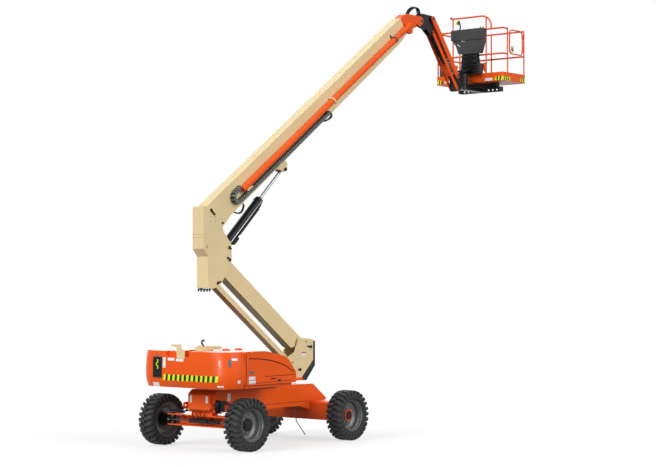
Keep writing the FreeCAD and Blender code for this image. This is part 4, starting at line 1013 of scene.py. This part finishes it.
out_rear, out_right = Vector((-1, 0, 0)), Vector((0, -1, 0))
for k, z in enumerate((3.908, 3.853)):
    line = [at(-1.603, 0.110, z), at(-1.603, -0.094, z)]
    screw_row(f"upright_screws_{k}", line, 4, out_rear, "upright", dull_steel, 0.7)
stud = bmesh.new()
turned(stud, [(-0.012, 0), (-0.012, 0.020), (0.022, 0.020), (0.022, 0.011), (0.046, 0.011), (0.046, 0)], 18)
stud_mesh = solid(stud, "stud")
stud_mesh.transform(Matrix.Rotation(-math.pi / 2, 4, "X"))
for k, x in enumerate((-1.470, -1.405)):
    line = [at(x, 0.110, 2.906), at(x, -0.110, 2.906)]
    row = copies_along(f"upright_foot_bolts_{k}", stud_mesh, line, 4, black)
    put(f"upright_foot_bolts_{k}", row, "upright")
for k, z in enumerate((4.240, 4.152)):
    line = [at(-1.425, -0.143, z), at(-1.291, -0.143, z)]
    screw_row(f"upright_side_screws_{k}", line, 2, out_right, "upright", dull_steel, 0.8)
line = [at(-1.500, -0.143, 3.70), at(-1.520, -0.143, 3.665)]
screw_row("upright_low_screws", line, 2, out_right, "upright", black)
for k, (x, z) in enumerate(((1.268, 1.881), (0.863, 1.484))):
    line = [at(x, -0.164, z), at(x + 0.02, -0.164, z - 0.004)]
    screw_row(f"mount_plugs_{k}", line, 2, out_right, "turntable", dull_steel, 1.2)
hook_line = ((-1.648, 1.872), (-1.694, 1.92), (-1.701, 1.96), (-1.671, 1.990), (-1.632, 1.966))
hose("rest_hook", [at(x, -0.19, z) for x, z in hook_line], 0.016, "turntable", black)


# ---- Main boom, fly and their services ----------------------------------------------------
# The base section is cream and the sliding fly section is orange. A chain track beside them
# carries the hoses: linked grey moulded plates over a black core, fed by the orange tube.
finish_nodes(orange, "fly_boom", "side_tube")
finish_nodes(black, "lift_barrel", "jib_barrel", "jib_head", "rotator_mount", "platform_support")
track_core = enamel("track_core", (0.010, 0.011, 0.012), 150.0, 0.4, 0.10, 0.05)
track_link = enamel("track_link", (0.125, 0.135, 0.135), 150.0, 0.4, 0.08, 0.15, 0.3, 0.5)
finish_nodes(track_core, "power_track")


def sloped(x, z, degrees):
    """Marks along and square to a sloping piece: (along, above, y) gives the point."""
    lean = math.radians(degrees)
    return lambda u, w, y: at(x + u * math.cos(lean) - w * math.sin(lean), y,
                              z + u * math.sin(lean) + w * math.cos(lean))


boom_slope = 35
on_boom = sloped(-1.410, 4.360, boom_slope)
track_y, track_turn, track_u, track_top, track_low = -0.157, 0.101, 0.719, -0.077, -0.279
turn_middle = track_top - track_turn
level_link = bmesh.new()
add_block(level_link, (-0.0190, -0.0475, -0.0365), (0.0190, 0.0455, 0.0365), 0.004)
add_block(level_link, (-0.012, -0.0500, -0.012), (0.028, 0.0400, 0.012), 0.004)
loop = [on_boom(0.880 - 0.040 * k, track_top, track_y) for k in range(5)]
loop += [on_boom(track_u - track_turn * math.sin(a), turn_middle + track_turn * math.cos(a), track_y)
         for a in (math.pi * k / 24 for k in range(1, 24))]
loop += [on_boom(track_u + 0.2675 * k, track_low, track_y) for k in range(13)]
links = copies_along("track_links", solid(level_link, "track_link"), loop, 61, track_link, True)
put("track_links", links, "main_boom")
for k, y in enumerate((-0.140, -0.178)):
    tail = [(3.80, -0.25), (3.88, -0.215), (3.956, -0.254), (4.005, -0.348), (3.952, -0.397), (3.80, -0.373),
            (3.72, -0.345)]
    hose(f"track_tail_{k}", [on_boom(u, w, y) for u, w in tail], 0.013, "main_boom")
heel = [(0.83, -0.395), (0.83, -0.428), (0.772, -0.462), (0.707, -0.498), (0.621, -0.479), (0.575, -0.440),
        (0.545, -0.415), (0.525, -0.385)]
for k, y in enumerate((-0.114, -0.128)):
    bent = [on_boom(u, w - 0.010 * k, y + (0.020 if n in (0, 7) else 0.0)) for n, (u, w) in enumerate(heel)]
    hose(f"heel_hose_{k}", bent, 0.0125, "main_boom")


def prism(shape, outline, low, high, place):
    """A flat shape cut from plate: outline is 2D, low and high are its two faces' levels."""
    rings = [[shape.verts.new(place(a, b, level)) for a, b in outline] for level in (low, high)]
    shape.faces.new(rings[0])
    shape.faces.new(list(reversed(rings[1])))
    for k in range(len(outline)):
        n = (k + 1) % len(outline)
        shape.faces.new((rings[0][k], rings[1][k], rings[1][n], rings[0][n]))
    return shape


def strap(name, u, body, paint, wide=0.045):
    """A bent strap that holds the carrier tube against the boom's side and lets it slide."""
    def round_tube(radius):
        """The half circle that one face of the strap follows."""
        turns = (math.pi * k / 12 for k in range(13))
        return [(-0.186 - radius * math.sin(a), -0.140 + radius * math.cos(a)) for a in turns]

    near, far = -0.113, -0.119
    section = [(near, -0.078), *round_tube(0.062), (near, -0.202), (near, -0.255), (far, -0.255),
               (far, -0.209), *reversed(round_tube(0.069)), (far, -0.071), (far, -0.025), (near, -0.025)]
    made = prism(bmesh.new(), section, u, u + wide, lambda y, w, along: on_boom(along, w, y))
    return put(name, solid(made, name), body, paint)


strap("tube_strap_far", 6.640, "main_boom", dull_steel)
strap("tube_strap_near", 4.150, "main_boom", cream, 0.03)
end_outline = [(0.950, -0.205), (1.120, -0.205), (1.120, -0.190), (1.03, -0.175), (0.950, -0.175)]
plate = prism(bmesh.new(), end_outline, -0.262, -0.236, on_boom)
put("tube_end_plate", solid(plate, "tube_end_plate"), "fly", cream)
for k, (u, w, face) in enumerate(((0.150, -0.387, -0.115), (2.243, -0.534, -0.107))):
    line = [on_boom(u - 0.012, w, face), on_boom(u + 0.018, w - 0.004, face)]
    screw_row(f"boom_bolts_{k}", line, 2, out_right, "main_boom", black, 1.9)
ear = bmesh.new()
turned(ear, [(0, 0), (0, 0.036), (0.012, 0.036), (0.012, 0)], 28)
ear_mesh = solid(ear, "ear_pin")
for hand in (-1, 1):
    mesh = ear_mesh.copy()
    mesh.transform(facing_out(0.734, 0.103, 5.209, hand))
    put("ear_pin_" + side_name(hand), mesh, "main_boom", black)
fold = [on_boom(0.9, 0.035, -0.112), on_boom(7.1, 0.035, -0.112)]
seam("boom_fold_right", skin_of("base_boom"), fold, 0.004, leftwards, "main_boom", cream, 20)


# ---- Lift and jib cylinders ---------------------------------------------------------------
# Black honed tube with a steel pipe clipped along it, and a hose in a sprung guard on its under
# side. The rods are chromed.
lift_slope = 42.695
on_lift = sloped(-0.920, 3.683, lift_slope)
pipe = [(0.115, 0.0, -0.075), (0.150, 0.0, -0.0945), (1.28, 0.0, -0.0945), (1.325, 0.0, -0.075)]
hose("lift_pipe", [on_lift(*spot) for spot in pipe], 0.0125, "lift_barrel", chrome, False)
for k, (w, y) in enumerate(((-0.062, -0.072), (0.060, -0.070))):
    side_hose = [on_lift(u, w, y) for u in (0.16, 0.5, 0.9, 1.26)]
    hose(f"lift_side_hose_{k}", side_hose, 0.014, "lift_barrel")
guard_line = ((0.410, -0.085), (0.48, -0.098), (0.9, -0.098), (1.20, -0.098), (1.285, -0.078))
guard_route = [on_lift(u, w, -0.030) for u, w in guard_line]
hose("lift_hose", guard_route, 0.017, "lift_barrel")
coil = bmesh.new()
turned(coil, [(-0.005, 0.016), (-0.004, 0.023), (0.004, 0.023), (0.005, 0.016)], 14)
coil_mesh = solid(coil, "guard_turn")
coil_mesh.transform(Matrix.Rotation(math.pi / 2, 4, "Z"))
guard = copies_along("lift_guard", coil_mesh, guard_route[1:4], 34, dull_steel, True)
put("lift_guard", guard, "lift_barrel")
for k, u in enumerate((0.10, 1.305)):
    collar = bmesh.new()
    turned(collar, [(-0.022, 0.080), (-0.022, 0.088), (-0.018, 0.091), (0.018, 0.091), (0.022, 0.088),
                    (0.022, 0.080)], 64)
    mesh = solid(collar, "lift_collar")
    lean = Matrix.Rotation(-math.radians(lift_slope), 4, "Y") @ Matrix.Rotation(-math.pi / 2, 4, "Z")
    mesh.transform(Matrix.Translation(on_lift(u, 0, 0)) @ lean)
    put(f"lift_collar_{k}", mesh, "lift_barrel", black)
jib_line = ((5.600, 8.575), (5.655, 8.45), (5.80, 8.24), (5.98, 8.05), (6.12, 7.90), (6.22, 7.82))
below = 0.045
for k, y in enumerate((-0.052, -0.018, 0.018, 0.052)):
    hose(f"jib_hose_{k}", [at(x - below * 0.5, y, z - below) for x, z in jib_line], 0.014, "jib_barrel")


# ---- Boom nose and jib --------------------------------------------------------------------
# Orange flat bars carry the black levelling head. Hydraulic hoses loop over the pivot from the
# fly's end to the jib, with slack for the head's travel.
finish_nodes(orange, "jib_boom", "jib_link")
for k, y in enumerate((0.050, 0.015, -0.020)):
    arch = [(4.80, 8.665), (4.84, 8.73), (4.928, 8.835 - 0.012 * k), (5.082, 8.900 - 0.014 * k),
            (5.190, 8.885 - 0.01 * k), (5.235, 8.80), (5.245, 8.72)]
    hose(f"nose_hose_{k}", [at(x, y, z) for x, z in arch], 0.0135, "fly")
nose_sag = ((5.02, 8.50), (5.05, 8.455), (5.12, 8.435), (5.22, 8.44))
hose("nose_under_hose", [at(x, -0.105, z) for x, z in nose_sag], 0.014, "fly")
head_sag = ((5.235, 8.55), (5.28, 8.47), (5.36, 8.44), (5.44, 8.455))
hose("head_under_hose", [at(x, -0.060, z) for x, z in head_sag], 0.014, "jib_head")
on_jib = sloped(5.600, 8.680, -51.95)
for k in range(6):
    y, across = (-0.078, 0.078)[k // 3], -0.008 + 0.031 * (k % 3)
    run = [(0.30, across), (0.44, across), (0.62, across), (0.82, across), (0.94, across * 0.4)]
    hose(f"jib_run_{k}", [on_jib(u, w, y) for u, w in run], 0.0150, "jib")
for name, x, z, face, body in (
    ("level_pivot", 5.215, 8.600, 0.108, "jib_head"), ("jib_head_pin", 5.600, 8.680, 0.127, "jib_head"),
    ("jib_foot_pin", 6.500, 7.530, 0.127, "rotator"),
):
    cap = bmesh.new()
    pin_ends(cap, [(-0.006, 0), (-0.006, 0.036), (0.004, 0.036), (0.008, 0.031), (0.008, 0)], x, face, z)
    put("pin_cap_" + name, solid(cap, name), body, dull_steel)


# ---- Platform -----------------------------------------------------------------------------
# The basket is orange round tube welded to a framed floor with a toe board all round. Hazard
# tape and blank labels are stuck on the toe board, and the floor has a raised tread.
finish_nodes(orange, "platform_floor", "platform_rails", "gate")
floor_skin = skin_of("platform_floor")


def rear_ray(s, z):
    """A ray at the basket's rear toe board, s metres to the right of its middle."""
    return at(6.6, -s, z), forwards


def right_ray(s, z):
    """A ray at the basket's right toe board, s metres ahead of the slewing axis."""
    return at(s, -1.4, z), leftwards


basket_middle = at(7.566, 0, 7.48)
for name, ray, start, stop, low, high, blocks in (
    ("left", rear_ray, -0.862, -0.729, 7.457, 7.548, 4), ("right", rear_ray, 0.684, 0.880, 7.447, 7.530, 5),
    ("side", right_ray, 7.128, 7.394, 7.447, 7.530, 7), ("end", right_ray, 7.810, 7.996, 7.462, 7.548, 5),
):
    tape("basket_tape_" + name, floor_skin, ray, start, stop, low, high, blocks, "platform", basket_middle,
         0.012)
for name, s, z, wide, high in (("left", -0.570, 7.495, 0.205, 0.055), ("right", 0.518, 7.482, 0.195, 0.062)):
    wall_plate("basket_plate_" + name, floor_skin, rear_ray, s, z, wide, high, "platform", basket_middle,
               plate_white)
rib = bmesh.new()
add_block(rib, (-0.0035, -0.80, 0), (0.0035, 0.80, 0.0035), 0.001)
tread_line = [at(7.20, 0, 7.4708), at(7.93, 0, 7.4708)]
put("floor_tread", copies_along("tread_ribs", solid(rib, "rib"), tread_line, 26, dull_steel), "platform")
post_x, half_plate = 7.135, 0.004
for name, y, outward in (("left", 0.455, 1), ("right", -0.435, -1)):
    corners = [(0, 0), (0, 0.235), (outward * 0.030, 0.235), (outward * 0.140, 0.215),
               (outward * 0.150, 0.190), (outward * 0.022, 0)]
    gusset = prism(bmesh.new(), corners, post_x - half_plate, post_x + half_plate,
                   lambda b, c, a, y=y: at(a, y - b, 7.630 + c))
    put("post_gusset_" + name, solid(gusset, "post_gusset"), "platform", orange)
plug = bmesh.new()
turned(plug, [(-0.018, 0), (-0.018, 0.0235), (0.010, 0.0235), (0.016, 0.018), (0.016, 0)], 28)
plug_mesh = solid(plug, "guard_bar")
plug_mesh.transform(Matrix.Translation(at(7.140, 0.505, 8.922)))
put("guard_bar_plug", plug_mesh, "platform", black_moulding)


# ---- Console and its cables ---------------------------------------------------------------
# The control box is a dark grey moulding with ribs across its back, under a lid. Its harness
# hangs in black loops below it, and drops to the rotator in a loose bundle of cables.
console_grey = enamel("console_grey", (0.038, 0.040, 0.043), 120.0, 0.1, 0.12, 0.04)
finish_nodes(console_grey, "platform_console", "tool_box", "socket_box")
for name, low, high, count, x, shift, scale in (
    ("lid_ribs", 8.415, 8.590, 6, 6.982, -0.022, 1.06), ("skirt_ribs", 8.305, 8.355, 2, 7.002, -0.03, 0.98),
    ("apron_ribs", 8.105, 8.225, 4, 7.002, -0.075, 0.74),
):
    shape = bmesh.new()
    add_block(shape, (-0.004, -0.385 * scale, -0.004), (0.004, 0.385 * scale, 0.004), 0.0025)
    line = [at(x, shift, low), at(x, shift, high)]
    put("console_" + name, copies_along(name, solid(shape, "rib"), line, count, console_grey), "platform")
# Painted shade: a thin black strip under the lid's edge stands in for the shadow that the lid casts on the
# box.
moulded("console_lip", "platform", black_moulding, (at(6.984, -0.425, 8.378), at(6.994, 0.365, 8.392), 0.003))
console_skin = skin_of("platform_console")
for k, (y, wide) in enumerate(((0.110, 0.050), (0.055, 0.030))):
    plate = patch(console_skin, at(6.99, y, 8.362), forwards, wide, 0.018, leftwards)
    put(f"console_label_{k}", plate, "platform", plate_white)
slant = Matrix.Rotation(math.radians(38), 3, "X")
moulded("console_slip", "platform", plate_white,
        (at(6.990, 0.155, 8.262), at(6.998, 0.247, 8.279), 0.002, slant))
for k, (y, tall) in enumerate(((-0.355, 0.030), (-0.433, 0.026), (-0.20, 0.018), (-0.05, 0.014),
                               (0.10, 0.016), (0.26, 0.014))):
    knob = bmesh.new()
    turned(knob, [(-0.004, 0), (-0.004, 0.012), (tall * 0.4, 0.008), (tall * 0.6, 0.015), (tall, 0.013),
                  (tall + 0.004, 0)], 20)
    mesh = solid(knob, "knob")
    mesh.transform(Matrix.Translation(at(7.03, y, 8.618)) @ Matrix.Rotation(math.pi / 2, 4, "X"))
    put(f"console_knob_{k}", mesh, "platform", black_moulding)
moulded("beacon_body", "platform", tape_bright, (at(7.128, 0.340, 8.765), at(7.165, 0.385, 8.845), 0.010))
moulded("beacon_back", "platform", black_moulding, (at(7.120, 0.275, 8.760), at(7.170, 0.330, 8.835), 0.014))
beacon_line = ((0.300, 8.85), (0.275, 8.82), (0.262, 8.75), (0.246, 8.69), (0.276, 8.645), (0.285, 8.60))
hose("beacon_cable", [at(7.135, y, z) for y, z in beacon_line], 0.016, "platform")
for layer in range(2):
    for k in range(12):
        z = 7.625 + 0.0395 * k + 0.017 * layer
        half = 0.275 - 0.0055 * k
        swing = 0.018 * math.sin(2.3 * k + 1.9 * layer)
        points = [(7.045, half * 0.95, z + 0.020), (7.015, half * 0.75, z - swing),
                  (6.995, half * 0.30, z + swing), (6.990, -half * 0.15, z - 0.6 * swing),
                  (6.995, -half * 0.6, z + swing), (7.015, -half * 0.9, z), (7.045, -half * 1.0, z + 0.020)]
        shifted = [at(x + 0.030 * layer, y - 0.070, z) for x, y, z in points]
        hose(f"console_loop_{layer}_{k}", shifted, 0.0170, "platform")
for k in range(8):
    y = 0.115 - 0.047 * k
    points = [(7.085, y * 0.9, 8.10), (7.080, y, 8.00), (7.075, y, 7.86), (7.020, y * 0.8, 7.76),
              (6.930, y * 0.50, 7.715), (6.872, y * 0.38, 7.69), (6.855, y * 0.36, 7.648)]
    hose(f"console_cable_{k}", [at(*spot) for spot in points], 0.013, "platform")
for k, y in enumerate((-0.055, -0.02, 0.02, 0.055)):
    points = [(6.56, 7.625), (6.60, 7.645 + 0.008 * k), (6.68, 7.655 + 0.008 * k), (6.735, 7.622)]
    hose(f"rotator_hose_{k}", [at(x, y * 1.6, z) for x, z in points], 0.015, "rotator")


# ---- Gate ---------------------------------------------------------------------------------
# A bent tube loop that swings on two pins, with a cream latch plate and a black catch.
plate_corners = [(7.440, 8.075), (7.556, 8.075), (7.556, 8.223), (7.440, 8.223)]
latch = prism(bmesh.new(), plate_corners, -0.888, -0.884, lambda x, z, y: at(x, y, z))
put("gate_latch_plate", solid(latch, "gate_latch_plate"), "gate", cream)
moulded("gate_catch", "gate", black_moulding,
        (at(7.462, -0.896, 8.120), at(7.530, -0.886, 8.150), 0.004),
        (at(7.470, -0.896, 8.155), at(7.500, -0.886, 8.185), 0.004))
